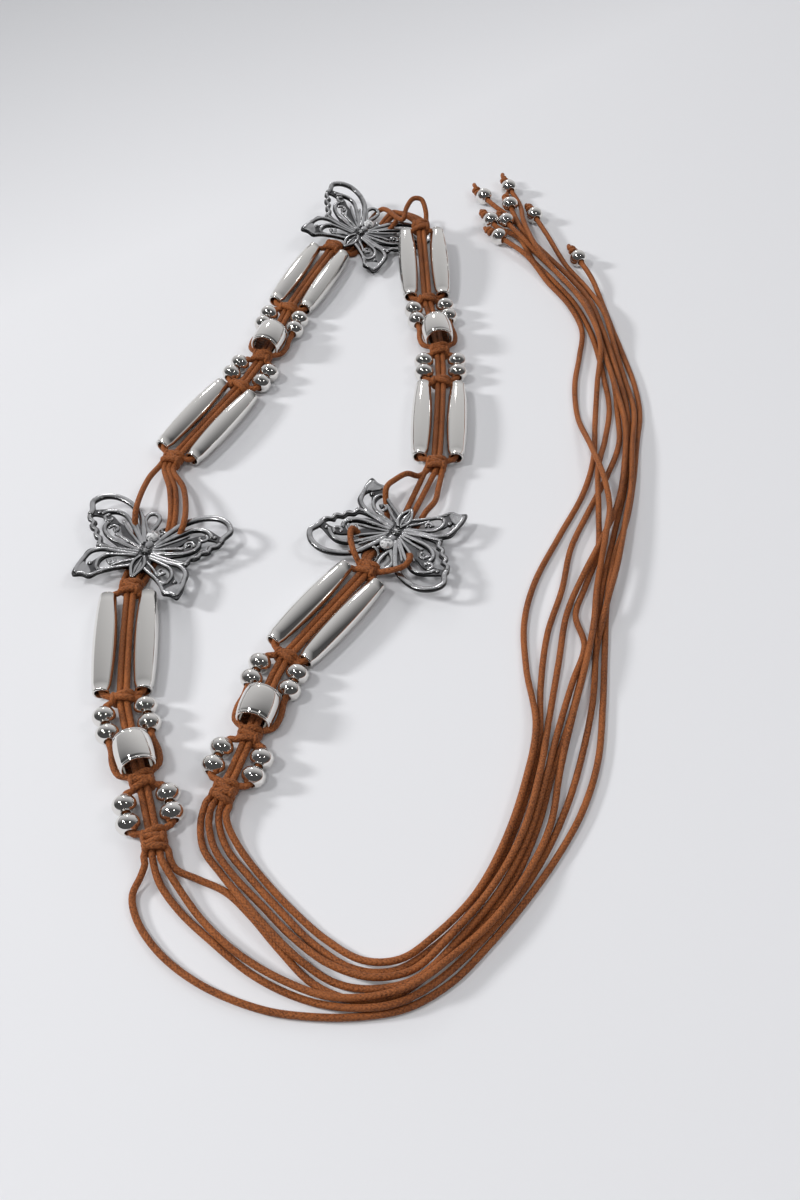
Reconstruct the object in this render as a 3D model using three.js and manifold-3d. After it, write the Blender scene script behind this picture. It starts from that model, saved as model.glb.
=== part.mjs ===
import * as THREE from 'three';
import { mergeVertices } from 'three/addons/utils/BufferGeometryUtils.js';
import Module from 'manifold-3d';

// A long knotted cord belt lying on a table, in millimetres, +Z up, standing on z = 0.
// Two arms of metal beads on knotted cord hang together at the top butterfly, each has another butterfly
// halfway along, and four free cords leave the knot at each arm's end.

const wasm = await Module();
wasm.setup();

// Middle of the beaded part's footprint in the plan below: it becomes the origin
const layoutMiddle = { x: 1.75, y: -7.738 };

// Cord and the gap left between pieces that touch
const seatGap = 0.3;
const cordDiameter = 2.3;
const cordRadius = cordDiameter / 2;
const cordPitch = cordDiameter + seatGap;

// Metal beads
const roundBead = { diameter: 8, flat: 3, pitch: 7.2, boreClearance: 0.5, sides: 10 };
const tubeBead = { length: 43.4, middle: 8.6, end: 6.2, bore: 4.3, sides: 10 };
const barrelBead = { length: 12.4, middle: 13.6, rim: 12, bore: 9.8, sides: 10 };
const endBead = { diameter: 7.2, flat: 2.8, boreClearance: 0.4, sides: 10 };

// Knotted cord work: how wide the knots are, and how far the side cords run from the middle
const knot = { halfWidth: 4.1, halfHeight: 3, groove: 0.5, inset: 1.1 };
const endKnot = { radius: 2.5, halfLength: 3, fromBead: 0.5 };
const tubeSpread = 7.3;
const beadSpread = 7.1;
const bowSpread = 8.3;
const rimSpread = 7.7;
const turnRoom = cordRadius + 0.65;
const pieceGap = 0.8;
const barrelGap = 1.8;
const tailGap = 1;

// Height of the cord work's middle over the table: the round beads' middle
const cordHeight = roundBead.diameter / 2;
const tableHeight = cordRadius + 0.05;

// Lengths along an arm of the pieces that are not beads
const length = { outerKnot: 5.2, tightKnot: 2.6, longKnot: 5.6, lastKnot: 7.4 };

// Butterfly: a cast openwork plate whose wings rise from the body
const wing = { thickness: 1.7, middle: 3.7, rise: 0.1 };
const crystal = { large: 2.3, small: 1.6, height: 1.5, table: 0.6 };
const abdomen = { length: 10, halfWidth: 1.9, height: 1.5, start: 2.4 };

// Each arm: its guide route of chosen plan points with the rise of the cord work there, and its three
// links, measured from a butterfly's middle to the nearest knot
const arms = {
  left: {
    links: [13.8, 47, 15.4],
    route: [
      [28.5, 139, 0], [19.8, 133, 0], [14.6, 125, 0], [6.5, 105.5, 0], [-1.3, 86, 0], [-3.9, 75, 0],
      [-8, 62, 0], [-14.8, 41, 0], [-20, 31, 0], [-30.7, 12, 0], [-41.3, -7, 0], [-46, -20, 0],
      [-48, -40, 0], [-47.6, -59.5, 0], [-50, -70, 0], [-51.3, -81, 0], [-49.4, -103, 0], [-47.3, -126, 0],
      [-44.3, -137, 0], [-39, -152, 0], [-32.7, -170, 0], [-29.5, -182, 0],
    ],
  },
  right: {
    links: [56.8, 37.7, 18.4],
    route: [
      [28.5, 139, 0], [34, 150, 2], [43.5, 158.3, 4.6], [51.5, 160.6, 6], [55.6, 156.8, 6], [57, 148, 5.4],
      [57.7, 139, 5], [58.2, 131, 4.3], [59, 115, 2.4], [60, 91, 0.6], [61.7, 79, 0.15], [64.3, 66, 0], [65.6, 43, 0], [65.2, 33, 0],
      [64.3, 11.5, 0], [63.2, -10, 0], [60, -24, 0], [54, -38, 0], [46.4, -50.6, 0], [40, -62, 0],
      [33.5, -72.5, 0], [21.3, -88.6, 0], [9.7, -105.2, 0], [4.5, -116, 0], [0.2, -131, 0],
      [-4.6, -149, 0], [-8.6, -161, 0],
    ],
  },
};
const upperSection = [
  'outerKnot', 'tubes', 'tightKnot', 'beads', 'barrel', 'longKnot', 'beads', 'tightKnot', 'tubes', 'outerKnot',
];
const lowerSection = ['outerKnot', 'tubes', 'tightKnot', 'beads', 'barrel', 'longKnot', 'beads', 'lastKnot'];

// Where each butterfly's head points, in degrees from +Y, how far it leans on its body's line, and its lift
const butterflies = {
  butterfly_top: { turn: -34, lean: 10, lift: 0.9 },
  butterfly_left: { turn: -16, lean: 0, lift: 0 },
  butterfly_right: { turn: 152, lean: 0, lift: 0 },
};

// Free cords in the order they are laid: the end knot that each leaves, its place there from the right
// side of the arm, and its chosen plan points from there, round the bundle, to its own small end knot
const tails = {
  right_3: {
    from: 'right', place: 2,
    route: [
      [-10, -174.5], [-7, -182], [1, -192], [11, -203], [22, -214], [34, -221.5], [46, -222.2], [58, -215], [70, -203],
      [81, -184], [89, -164], [95, -142], [97, -120], [101, -97], [108, -76], [113, -56], [121, -38],
      [131, -17], [137.5, 1], [138.8, 20], [139.2, 40], [136.4, 66], [132.9, 87], [124.4, 107], [115.3, 123],
      [106.8, 138], [106.4, 147.5], [101.2, 155.9], [95.6, 160.6], [85.6, 175.9],
    ],
  },
  left_4: {
    from: 'left', place: 3,
    route: [
      [-22, -190], [-15.5, -192.5], [-6, -197], [2, -204.5], [12, -216], [22, -226], [34, -231], [46, -230],
      [58, -222], [71, -210], [83, -194], [92, -175], [99, -153], [106, -134], [112, -114], [119, -92],
      [124, -71], [131, -46], [137, -24], [141, -2], [143, 20], [141, 40], [138.2, 64], [134, 89], [126.5, 108],
      [117, 124], [109, 137], [105, 147], [100, 169],
    ],
  },
  left_1: {
    from: 'left', place: 0,
    route: [
      [-32.8, -192.5], [-34.8, -198], [-32.5, -206], [-24, -217], [-10, -227], [8, -234], [22, -236], [36, -236], [50, -233.5],
      [63, -226], [75, -214], [86, -201], [97, -186], [107, -169], [114, -150], [118, -127], [121, -104],
      [124, -82], [129, -61], [136, -41], [141, -20], [145, 2], [148, 18], [148, 34], [145.5, 53], [142, 75],
      [139.8, 90], [136, 106], [129, 127],
    ],
  },
  right_1: {
    from: 'right', place: 0,
    route: [
      [-16, -174], [-14.5, -182], [-8, -191], [-1, -200], [8, -210], [18, -219.5], [29, -226], [41, -228.3], [53, -225.5],
      [66, -213], [79, -197], [89, -178], [96, -157], [102, -137], [108, -119], [113.5, -104], [112, -88],
      [117, -74], [123, -58], [125, -38], [127, -16], [132, 3], [135.6, 21], [135.3, 40], [132.8, 68], [127.3, 90],
      [119, 107], [109.8, 124], [105.5, 136], [101, 142.2], [95, 144.6], [88.5, 156.3],
    ],
  },
  right_2: {
    from: 'right', place: 1,
    route: [
      [-13.2, -174], [-11, -182], [-4, -192], [6, -202], [15, -211.5], [27, -221], [40, -225.2], [52, -222.5], [64, -212],
      [77, -196], [87, -178], [94, -156], [99, -133], [104, -110], [109, -87], [116, -71], [125, -53],
      [133, -34], [138, -12], [140.6, 10], [138.6, 35], [136, 59], [132.2, 85], [124, 104], [115, 120.5],
      [105, 136], [96, 154.8],
    ],
  },
  left_2: {
    from: 'left', place: 1,
    route: [
      [-27, -194], [-20, -203], [-9, -213], [5, -224], [20, -231], [34, -234], [47, -232.8], [59, -226],
      [71, -215], [83, -201], [94, -184], [103, -165], [110, -144], [115, -124], [118, -104], [123, -86],
      [129, -67], [134, -47], [139, -26], [142, -4], [145.5, 20], [144, 40], [141.3, 60], [139, 79],
      [133.5, 101], [125.5, 119], [118, 139], [110.9, 160.9],
    ],
  },
  right_4: {
    from: 'right', place: 3,
    route: [
      [-7, -175], [-3, -182], [4, -191], [14, -202], [25, -212], [37, -219.5], [48, -219.5], [59, -211.5], [71, -199],
      [81, -181], [89, -159], [94, -137], [92.5, -112], [93, -92], [98, -73], [109, -50], [120, -28],
      [126, -9], [129, 14], [132, 36], [134.9, 58], [131.7, 79], [125.9, 96], [118, 112], [110.5, 129],
      [107, 148], [106.6, 163], [99.8, 184.2],
    ],
  },
  left_3: {
    from: 'left', place: 2,
    route: [
      [-20, -197], [-12, -207], [0, -218], [14, -226], [27, -231], [40, -231], [52, -228], [64, -219],
      [76, -208], [87, -193], [96, -175], [101, -154], [106, -136], [112, -116], [117, -97], [121, -75],
      [126, -53], [129, -38], [128, -24], [125, -4], [122, 16], [122.5, 36], [126, 54], [128.7, 72], [124.3, 90],
      [116, 106.5], [107, 123.5], [90.6, 142.5],
    ],
  },
};
const steepest = 0.2;
const samplesPerStep = 5;

// Helpers

const toSolid = (geometry) => {
  geometry.deleteAttribute('normal');
  geometry.deleteAttribute('uv');
  const merged = mergeVertices(geometry, 1e-5);
  return new wasm.Manifold(new wasm.Mesh({
    numProp: 3,
    vertProperties: new Float32Array(merged.attributes.position.array),
    triVerts: new Uint32Array(merged.index.array),
  }));
};

const toGeometry = (solid) => {
  const mesh = solid.getMesh();
  const geometry = new THREE.BufferGeometry();
  geometry.setAttribute('position', new THREE.BufferAttribute(mesh.vertProperties, 3));
  geometry.setIndex(new THREE.BufferAttribute(mesh.triVerts, 1));
  return geometry;
};

const join = (geometries) => toGeometry(geometries.map(toSolid).reduce((whole, next) => whole.add(next)));

const polygon = (sides, radius) => new THREE.Shape(Array.from({ length: sides }, (unused, side) => {
  const angle = 2 * Math.PI * side / sides;
  return new THREE.Vector2(radius * Math.cos(angle), radius * Math.sin(angle));
}));

// A path of straight steps, one between each two of its points
class Steps extends THREE.Curve {
  constructor(points) {
    super();
    this.points = points;
  }

  getPoint(t, target = new THREE.Vector3()) {
    const place = t * (this.points.length - 1);
    const index = Math.min(Math.floor(place), this.points.length - 2);
    return target.lerpVectors(this.points[index], this.points[index + 1], place - index);
  }

  getUtoTmapping(u) {
    return u;
  }

  // Frames that stay level and halve each bend, so that no run twists: the section's x goes down, its y across
  computeFrenetFrames() {
    const headings = this.points.slice(1).map((point, i) => point.clone().sub(this.points[i]).normalize());
    const tangents = this.points.map((unused, i) => (headings[Math.max(i - 1, 0)].clone())
      .add(headings[Math.min(i, headings.length - 1)]).normalize());
    const normals = tangents.map((tangent) => new THREE.Vector3(0, 0, -1).addScaledVector(tangent, tangent.z).normalize());
    const binormals = tangents.map((tangent, i) => tangent.clone().cross(normals[i]));
    return { tangents, normals, binormals };
  }
}

const sweep = (section, points) => new THREE.ExtrudeGeometry(section, {
  steps: points.length - 1,
  bevelEnabled: false,
  extrudePath: new Steps(points),
});

// A turned body drilled along its axis, from its profile of [radius, height] rows, lowest first
const turned = (profile, sides) => new THREE.LatheGeometry(
  [...profile, profile[0]].map(([radius, height]) => new THREE.Vector2(radius, height)), sides);

// Metal beads, each along its own Y axis

const sphereRow = (radius, flat, bore, middle) => {
  const half = Math.sqrt(radius ** 2 - bore ** 2);
  return [[bore, middle - half], [radius, middle - flat / 2], [radius, middle + flat / 2], [bore, middle + half]];
};

const roundBore = cordRadius + roundBead.boreClearance;
const roundHalf = Math.sqrt((roundBead.diameter / 2) ** 2 - roundBore ** 2);
const pairLength = roundBead.pitch + 2 * roundHalf;

const roundPairGeometry = () => {
  const radius = roundBead.diameter / 2;
  const first = sphereRow(radius, roundBead.flat, roundBore, -roundBead.pitch / 2);
  const second = sphereRow(radius, roundBead.flat, roundBore, roundBead.pitch / 2);
  const neck = [roundBore + seatGap, 0];
  return turned([...first.slice(0, 3), neck, ...second.slice(1)], roundBead.sides);
};

const tubeGeometry = () => {
  const { length: whole, middle, end, bore, sides } = tubeBead;
  return turned([
    [bore / 2, -whole / 2], [end / 2, -whole / 2], [middle / 2, -whole / 9],
    [middle / 2, whole / 9], [end / 2, whole / 2], [bore / 2, whole / 2],
  ], sides);
};

const barrelGeometry = () => {
  const { length: whole, middle, rim, bore, sides } = barrelBead;
  return turned([
    [bore / 2, -whole / 2], [rim / 2, -whole / 2], [middle / 2, -whole / 6],
    [middle / 2, whole / 6], [rim / 2, whole / 2], [bore / 2, whole / 2],
  ], sides);
};

const endBore = cordRadius + endBead.boreClearance;
const endHalf = Math.sqrt((endBead.diameter / 2) ** 2 - endBore ** 2);
const endBeadGeometry = () => turned(sphereRow(endBead.diameter / 2, endBead.flat, endBore, 0), endBead.sides);

// Butterfly plate, drawn head up for the half on +X and mirrored: the outline from the head to the tail,
// then the openings. Heights are added afterwards.

const outlineHalf = [
  [1.6, 8.6], [2.4, 4.9], [3.9, 9.6], [6.9, 14.6], [10.4, 18.6], [15.6, 21.6], [21.6, 22.4],
  [26.6, 20.2], [29.2, 16.2], [27.2, 10.2], [27, 7.4], [24.6, 6.2], [24.4, 3.4], [21.8, 2.6],
  [21, -0.2], [18.6, -0.8], [17.4, -3.6], [20.3, -6.6], [20.9, -11.2], [20.6, -19.6],
  [14.4, -18], [10, -13.4], [2.3, -8.8],
];
const foreGap = [
  [5.6, 8.8], [8.2, 13.2], [11.4, 17], [16.2, 19.8], [21.4, 20.5], [25.4, 18.8], [27.3, 15.6], [26, 12.4],
  [21.6, 14.2], [17.6, 15], [13.6, 13.2], [9.6, 7.6],
];
const foreCell = [
  [4.6, 1.6], [13.8, 9.6], [17.4, 12.8], [19.8, 11.8], [16.4, 8.4], [17.9, 5.8], [15.8, 2.4],
];
const foreTrail = [
  [25.2, 9.5], [22.9, 7.4], [22.5, 4.8], [20.1, 4], [19.2, 1.2], [14.6, -1.4], [17.6, 1.9], [19.8, 5.4],
  [19, 8],
];
const hindGap = [
  [15.8, -4], [18.7, -7.2], [19.2, -11.2], [17.6, -13.2], [15.6, -9.4], [10.8, -4.6],
];
const hindCell = [
  [4.2, -2.8], [12.2, -7], [13.8, -10.2], [12.6, -13.6], [5.2, -7.8],
];
const teardropOutline = [[-1.6, 6], [-3.6, 9.8], [-6.4, 14.4], [-6.9, 16.6], [-4.8, 17.6], [-2, 14.4], [-0.6, 8]];
const teardropGap = [[-2.4, 9.6], [-5.3, 14.2], [-5.4, 15.8], [-4.4, 15.9], [-3, 13.6]];
const ring = { x: 3.9, y: 12.9, inner: 2.55, outer: 3.6, thickness: 1.2, drop: 1.15, tilt: 35, sides: 10 };

// A closed outline that always runs counter-clockwise, as the extrusion wants it
const toShape = (rows) => {
  const points = rows.map(([x, y]) => new THREE.Vector2(x, y));
  return new THREE.Shape(THREE.ShapeUtils.isClockWise(points) ? points.reverse() : points);
};
const mirrored = (points) => points.map(([x, y]) => [-x, y]).reverse();
const flatPlate = (shape, thickness) => new THREE.ExtrudeGeometry(shape, { depth: thickness, bevelEnabled: false })
  .translate(0, 0, -thickness / 2);

const wingRise = (x) => wing.rise * Math.abs(x);

const butterflyGeometry = () => {
  const plate = toShape([...outlineHalf, ...mirrored(outlineHalf)]);
  for (const opening of [foreGap, foreCell, foreTrail, hindGap, hindCell]) {
    plate.holes.push(new THREE.Path(toShape(opening).getPoints()));
    plate.holes.push(new THREE.Path(toShape(mirrored(opening)).getPoints()));
  }
  const teardrop = toShape(teardropOutline);
  teardrop.holes.push(new THREE.Path(toShape(teardropGap).getPoints()));
  const loop = polygon(ring.sides, ring.outer);
  loop.holes.push(new THREE.Path(polygon(ring.sides, ring.inner).getPoints()));
  const stem = toShape([[0.6, 7.8], [1.8, 7.6], [4.2, 10], [3, 10.9]]);
  const flat = [
    flatPlate(plate, wing.thickness),
    flatPlate(teardrop, wing.thickness),
    flatPlate(stem, wing.thickness),
  ];
  const whole = join(flat);
  const position = whole.attributes.position;
  for (let i = 0; i < position.count; i += 1) {
    position.setZ(i, position.getZ(i) + wingRise(position.getX(i)));
  }
  const cut = (radius, y) => new THREE.CylinderGeometry(radius * crystal.table, radius, crystal.height, 8)
    .rotateX(Math.PI / 2)
    .translate(0, y, wing.thickness / 2 + crystal.height / 2 - 0.2);
  const tail = new THREE.SphereGeometry(1, 6, 4).rotateX(Math.PI / 2)
    .scale(abdomen.halfWidth, abdomen.length / 2, abdomen.height)
    .translate(0, -abdomen.start - abdomen.length / 2, wing.thickness / 2);
  const tiltedLoop = flatPlate(loop, ring.thickness).rotateX(-THREE.MathUtils.degToRad(ring.tilt))
    .translate(ring.x, ring.y, -ring.drop);
  return join([whole, tiltedLoop, cut(crystal.large, 7), cut(crystal.small, 0), tail]);
};

// Arms: pieces laid end to end along the guide route

const pieceLength = {
  ...length, tubes: tubeBead.length, beads: pairLength, barrel: barrelBead.length,
};

const layArm = ({ route, links }) => {
  const guide = new THREE.CatmullRomCurve3(route.map(([x, y, rise]) => new THREE.Vector3(x, y, rise)));
  guide.arcLengthDivisions = 1200;
  const total = guide.getLength();
  const at = (station) => {
    if (station <= total) return guide.getPointAt(station / total);
    return guide.getPointAt(1).addScaledVector(guide.getTangentAt(1), station - total);
  };
  const laid = [];
  let station = 0;
  const lay = (kind, section) => {
    if (kind === 'barrel') {
      station += barrelGap - pieceGap;
      laid[laid.length - 1].beforeBarrel = true;
    }
    const start = at(station);
    const end = at(station + pieceLength[kind]);
    const along = end.clone().sub(start).normalize();
    laid.push({
      kind,
      section,
      along,
      middle: start.add(end).multiplyScalar(0.5),
      across: new THREE.Vector3(-along.y, along.x, 0).normalize(),
      half: pieceLength[kind] / 2,
    });
    station += pieceLength[kind] + pieceGap;
  };
  station += links[0];
  upperSection.forEach((kind) => lay(kind, 'upper'));
  station += links[1] - pieceGap;
  const butterfly = at(station);
  station += links[2];
  lowerSection.forEach((kind) => lay(kind, 'lower'));
  return { laid, butterfly, top: at(0) };
};

// A point of a laid piece: how far along from its middle, how far to the left, and how high
const pointOf = (piece, along, left, height = cordHeight) => piece.middle.clone()
  .addScaledVector(piece.along, along)
  .addScaledVector(piece.across, left)
  .add(new THREE.Vector3(0, 0, height));

// Turns a Y-axis body onto a laid piece
const placeOn = (mesh, piece, left, height) => {
  mesh.quaternion.setFromUnitVectors(new THREE.Vector3(0, 1, 0), piece.along);
  mesh.position.copy(pointOf(piece, 0, left, height));
};

const isKnot = (piece) => piece.kind.endsWith('Knot');

const knotGeometry = (piece) => {
  const turns = Math.ceil(2 * piece.half / cordDiameter);
  const turn = 2 * piece.half / turns;
  const top = [];
  for (let i = 0; i < turns; i += 1) {
    top.push([-piece.half + i * turn, knot.halfHeight - (i === 0 ? 1 : knot.groove)]);
    top.push([-piece.half + (i + 0.5) * turn, knot.halfHeight]);
  }
  top.push([piece.half, knot.halfHeight - 1]);
  const outline = [...top, ...top.map(([x, y]) => [x, -y]).reverse()];
  const block = flatPlate(toShape(outline), 2 * knot.halfWidth);
  const frame = new THREE.Matrix4().makeBasis(
    piece.along, piece.along.clone().cross(piece.across).negate(), piece.across.clone());
  if (frame.determinant() < 0) {
    frame.makeBasis(piece.along, piece.along.clone().cross(piece.across), piece.across.clone().negate());
  }
  block.applyMatrix4(frame.setPosition(pointOf(piece, 0, 0)));
  return block;
};

const sideSection = polygon(5, 1.05 * cordRadius);
// The two core cords side by side, as one flat run
const coreSection = toShape([
  [0, 2 * cordRadius], [0.9 * cordRadius, 1.3 * cordRadius], [0.9 * cordRadius, -1.3 * cordRadius],
  [0, -2 * cordRadius], [-0.9 * cordRadius, -1.3 * cordRadius], [-0.9 * cordRadius, 1.3 * cordRadius],
]);

// The side cord's points through one bead or tube, on the side given by +1 or -1
const throughPiece = (piece, side) => {
  if (piece.kind === 'barrel') {
    return [
      pointOf(piece, 1.4 - piece.half, side * rimSpread),
      pointOf(piece, 0, side * bowSpread),
      pointOf(piece, piece.half, side * rimSpread),
    ];
  }
  const spread = piece.kind === 'tubes' ? tubeSpread : beadSpread;
  const room = piece.half + turnRoom;
  const nextRoom = piece.beforeBarrel ? piece.half + 0.8 : room;
  return [pointOf(piece, -room, side * spread), pointOf(piece, nextRoom, side * spread)];
};

const sectionRuns = (pieces) => {
  const runs = [];
  const inset = knot.halfWidth - knot.inset;
  let first = 0;
  for (let next = 1; next < pieces.length; next += 1) {
    if (!isKnot(pieces[next])) continue;
    const between = pieces.slice(first + 1, next);
    const ends = [pieces[first], pieces[next]];
    for (const side of [1, -1]) {
      const points = between.flatMap((piece) => throughPiece(piece, side));
      runs.push(sweep(sideSection, [
        pointOf(ends[0], 0, side * inset), ...points, pointOf(ends[1], 0, side * inset),
      ]));
    }
    runs.push(sweep(coreSection, [
      pointOf(ends[0], 0, 0), ...between.map((piece) => pointOf(piece, 0, 0)), pointOf(ends[1], 0, 0),
    ]));
    first = next;
  }
  return runs;
};

// Links: four cords from a knot to a butterfly. Rows are points in the butterfly's own frame, from under
// its body outwards, with the height level of each, and are listed from its left to its right.
const level = {
  under: () => tableHeight,
  ring: () => wing.middle,
  over: (x) => wing.middle + wingRise(x) + wing.thickness / 2 + seatGap + cordRadius + 0.45,
  high: () => wing.middle + 7,
};
const linkRows = {
  head: [
    [[-3.9, 0.5, 'under'], [-7.4, 7.3, 'under'], [-9.9, 14.4, 'over'], [-9.2, 18, 'over']],
    [[-1.3, 0.5, 'under'], [3, 9.2, 'under'], [3, 16, 'ring']],
    [[1.3, 0.5, 'under'], [4.8, 9.2, 'under'], [4.8, 16, 'ring']],
    [[3.9, 0.5, 'under'], [7.4, 7.3, 'under'], [9.9, 14.4, 'over'], [9.2, 18, 'over']],
  ],
  tail: [
    [[-3.9, -0.1, 'under'], [-3.9, -11.5, 'under']],
    [[-1.3, -0.1, 'under'], [-1.3, -11.5, 'under']],
    [[1.3, -0.1, 'under'], [1.3, -11.5, 'under']],
    [[3.9, -0.1, 'under'], [3.9, -11.5, 'under']],
  ],
  shortHead: [
    [[-3.9, 0.5, 'under'], [-7.4, 7.3, 'under'], [-10.4, 14.2, 'over'], [-8.6, 17.6, 'over']],
    [[-1.3, 0.5, 'under'], [3, 9.2, 'under'], [3, 15.6, 'ring']],
    [[1.3, 0.5, 'under'], [4.8, 9.2, 'under'], [4.8, 15.6, 'ring']],
    [[3.9, 0.5, 'under'], [7.4, 7.3, 'under'], [10.4, 14.2, 'over'], [8.6, 17.6, 'over']],
  ],
  arch: [
    [[-3.9, 0.5, 'under'], [-4.4, 13.5, 'under'], [-2.4, 21.5, 'ring'], [4, 25, 'high']],
    [[-1.3, 0.5, 'under'], [3, 9.2, 'under'], [3, 16, 'ring'], [4.6, 20, 'over']],
    [[1.3, 0.5, 'under'], [4.8, 9.2, 'under'], [4.8, 16, 'ring'], [7, 20, 'over']],
    [[3.9, 0.5, 'under'], [7.4, 7.3, 'under'], [9.9, 14.4, 'over'], [7, 21, 'over']],
  ],
};
const links = [
  { arm: 'left', section: 'upper', end: 'first', butterfly: 'butterfly_top', rows: 'tail' },
  { arm: 'left', section: 'upper', end: 'last', butterfly: 'butterfly_left', rows: 'head' },
  { arm: 'left', section: 'lower', end: 'first', butterfly: 'butterfly_left', rows: 'tail' },
  { arm: 'right', section: 'upper', end: 'first', butterfly: 'butterfly_top', rows: 'arch' },
  { arm: 'right', section: 'upper', end: 'last', butterfly: 'butterfly_right', rows: 'tail' },
  { arm: 'right', section: 'lower', end: 'first', butterfly: 'butterfly_right', rows: 'shortHead' },
];

const laidArms = Object.fromEntries(Object.entries(arms).map(([name, arm]) => [name, layArm(arm)]));
const butterflyPlaces = {
  butterfly_top: laidArms.left.top,
  butterfly_left: laidArms.left.butterfly,
  butterfly_right: laidArms.right.butterfly,
};

const butterflyFrame = (name) => {
  const { turn, lean, lift } = butterflies[name];
  return new THREE.Matrix4().makeRotationZ(THREE.MathUtils.degToRad(turn))
    .multiply(new THREE.Matrix4().makeRotationY(THREE.MathUtils.degToRad(lean)))
    .setPosition(butterflyPlaces[name].clone().setZ(lift));
};

const linkRuns = ({ arm, section, end, butterfly, rows }) => {
  const knots = laidArms[arm].laid.filter((piece) => piece.section === section && isKnot(piece));
  const knotPiece = end === 'first' ? knots[0] : knots[knots.length - 1];
  const outwards = end === 'first' ? -1 : 1;
  const frame = butterflyFrame(butterfly);
  const table = linkRows[rows];
  const strands = table.map((row) => row.map(([x, y, name]) => {
    const point = new THREE.Vector3(x, y, level[name](x));
    const turnedPoint = point.applyMatrix4(frame);
    if (name === 'under') turnedPoint.z = tableHeight;
    return turnedPoint;
  }));
  // The strands meet the knot in the order in which they arrive, so that none crosses another
  const reach = (strand) => strand[strand.length - 1].clone().sub(knotPiece.middle).dot(knotPiece.across);
  const ordered = [...strands].sort((one, other) => reach(one) - reach(other));
  const pitch = 2 * (knot.halfWidth - cordRadius) / 3;
  return ordered.map((strand, index) => {
    const left = (index - (ordered.length - 1) / 2) * pitch;
    const arrival = rows === 'tail' || rows === 'shortHead' ? [] : [pointOf(knotPiece, outwards * (knotPiece.half + cordDiameter), left)];
    return sweep(sideSection, [...strand, ...arrival, pointOf(knotPiece, 0, left)]);
  });
};

// Free cords

const tailPlan = ({ from, place, route }) => {
  const { laid } = laidArms[from];
  const last = laid[laid.length - 1];
  const start = pointOf(last, last.half + tailGap, (place - 1.5) * cordPitch);
  const out = pointOf(last, last.half + tailGap + cordDiameter, (place - 1.5) * cordPitch);
  return [[start.x, start.y], [out.x, out.y], ...route];
};

// Height needed at a plan point so that a cord clears the steps of one laid before it
const clearOver = (x, y, cord) => {
  let height = 0;
  for (let i = 1; i < cord.length; i += 1) {
    const [start, end] = [cord[i - 1], cord[i]];
    const [dx, dy] = [end.x - start.x, end.y - start.y];
    const share = THREE.MathUtils.clamp(((x - start.x) * dx + (y - start.y) * dy) / (dx * dx + dy * dy), 0, 1);
    const apart = Math.hypot(start.x + share * dx - x, start.y + share * dy - y);
    if (apart < cordPitch) {
      const under = start.z + share * (end.z - start.z);
      height = Math.max(height, under + Math.sqrt(cordPitch ** 2 - apart ** 2));
    }
  }
  return height;
};

// Lays one cord: down from its knot, over the cords already there in long low humps, up to its end bead
const layCord = (plan, below) => {
  const steps = plan.slice(1).map(([x, y], i) => Math.hypot(x - plan[i][0], y - plan[i][1]));
  const needed = (x, y) => Math.max(0, ...below.map((cord) => clearOver(x, y, cord)));
  const heights = plan.map(([x, y]) => Math.max(tableHeight, needed(x, y)));
  heights[0] = cordHeight;
  heights[1] = Math.max(heights[1], cordHeight - steepest * steps[0]);
  for (const index of [plan.length - 2, plan.length - 1]) {
    heights[index] = Math.max(heights[index], endBead.diameter / 2);
  }
  steps.forEach((unused, i) => {
    for (let k = 1; k < samplesPerStep; k += 1) {
      const share = k / samplesPerStep;
      const x = plan[i][0] + share * (plan[i + 1][0] - plan[i][0]);
      const y = plan[i][1] + share * (plan[i + 1][1] - plan[i][1]);
      const short = needed(x, y) - (heights[i] + share * (heights[i + 1] - heights[i]));
      if (short > 0) {
        heights[i] += short;
        heights[i + 1] += short;
      }
    }
  });
  for (let i = 1; i < heights.length; i += 1) {
    heights[i] = Math.max(heights[i], heights[i - 1] - steepest * steps[i - 1]);
  }
  for (let i = heights.length - 2; i > 0; i -= 1) {
    heights[i] = Math.max(heights[i], heights[i + 1] - steepest * steps[i]);
  }
  return plan.map(([x, y], i) => new THREE.Vector3(x, y, heights[i]));
};

const laidCords = {};
for (const [name, tail] of Object.entries(tails)) {
  laidCords[name] = layCord(tailPlan(tail), Object.values(laidCords));
}

const tailSection = polygon(8, cordRadius);
const tailGeometry = (points) => {
  const last = points[points.length - 1];
  const along = last.clone().sub(points[points.length - 2]).normalize();
  const lump = new THREE.SphereGeometry(1, 8, 5)
    .scale(endKnot.radius, endKnot.halfLength, endKnot.radius)
    .applyQuaternion(new THREE.Quaternion().setFromUnitVectors(new THREE.Vector3(0, 1, 0), along))
    .translate(last.x, last.y, last.z);
  return join([sweep(tailSection, points), lump]);
};

// Materials

const cordMaterial = new THREE.MeshStandardMaterial({ color: 0xa85f35, roughness: 0.85, metalness: 0 });
const nickelMaterial = new THREE.MeshStandardMaterial({ color: 0xd9d6cf, roughness: 0.12, metalness: 1 });
const antiqueMaterial = new THREE.MeshStandardMaterial({ color: 0x9a9a9c, roughness: 0.3, metalness: 1 });

// The belt

const belt = new THREE.Group();
const layout = new THREE.Group();
layout.position.set(-layoutMiddle.x, -layoutMiddle.y, 0);
belt.add(layout);
const add = (name, geometry, material) => {
  const mesh = new THREE.Mesh(geometry, material);
  mesh.name = name;
  layout.add(mesh);
  return mesh;
};

for (const name of Object.keys(butterflies)) {
  const frame = butterflyFrame(name);
  const mesh = add(name, butterflyGeometry(), antiqueMaterial);
  mesh.geometry.translate(0, 0, wing.middle);
  mesh.applyMatrix4(frame);
}

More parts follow.
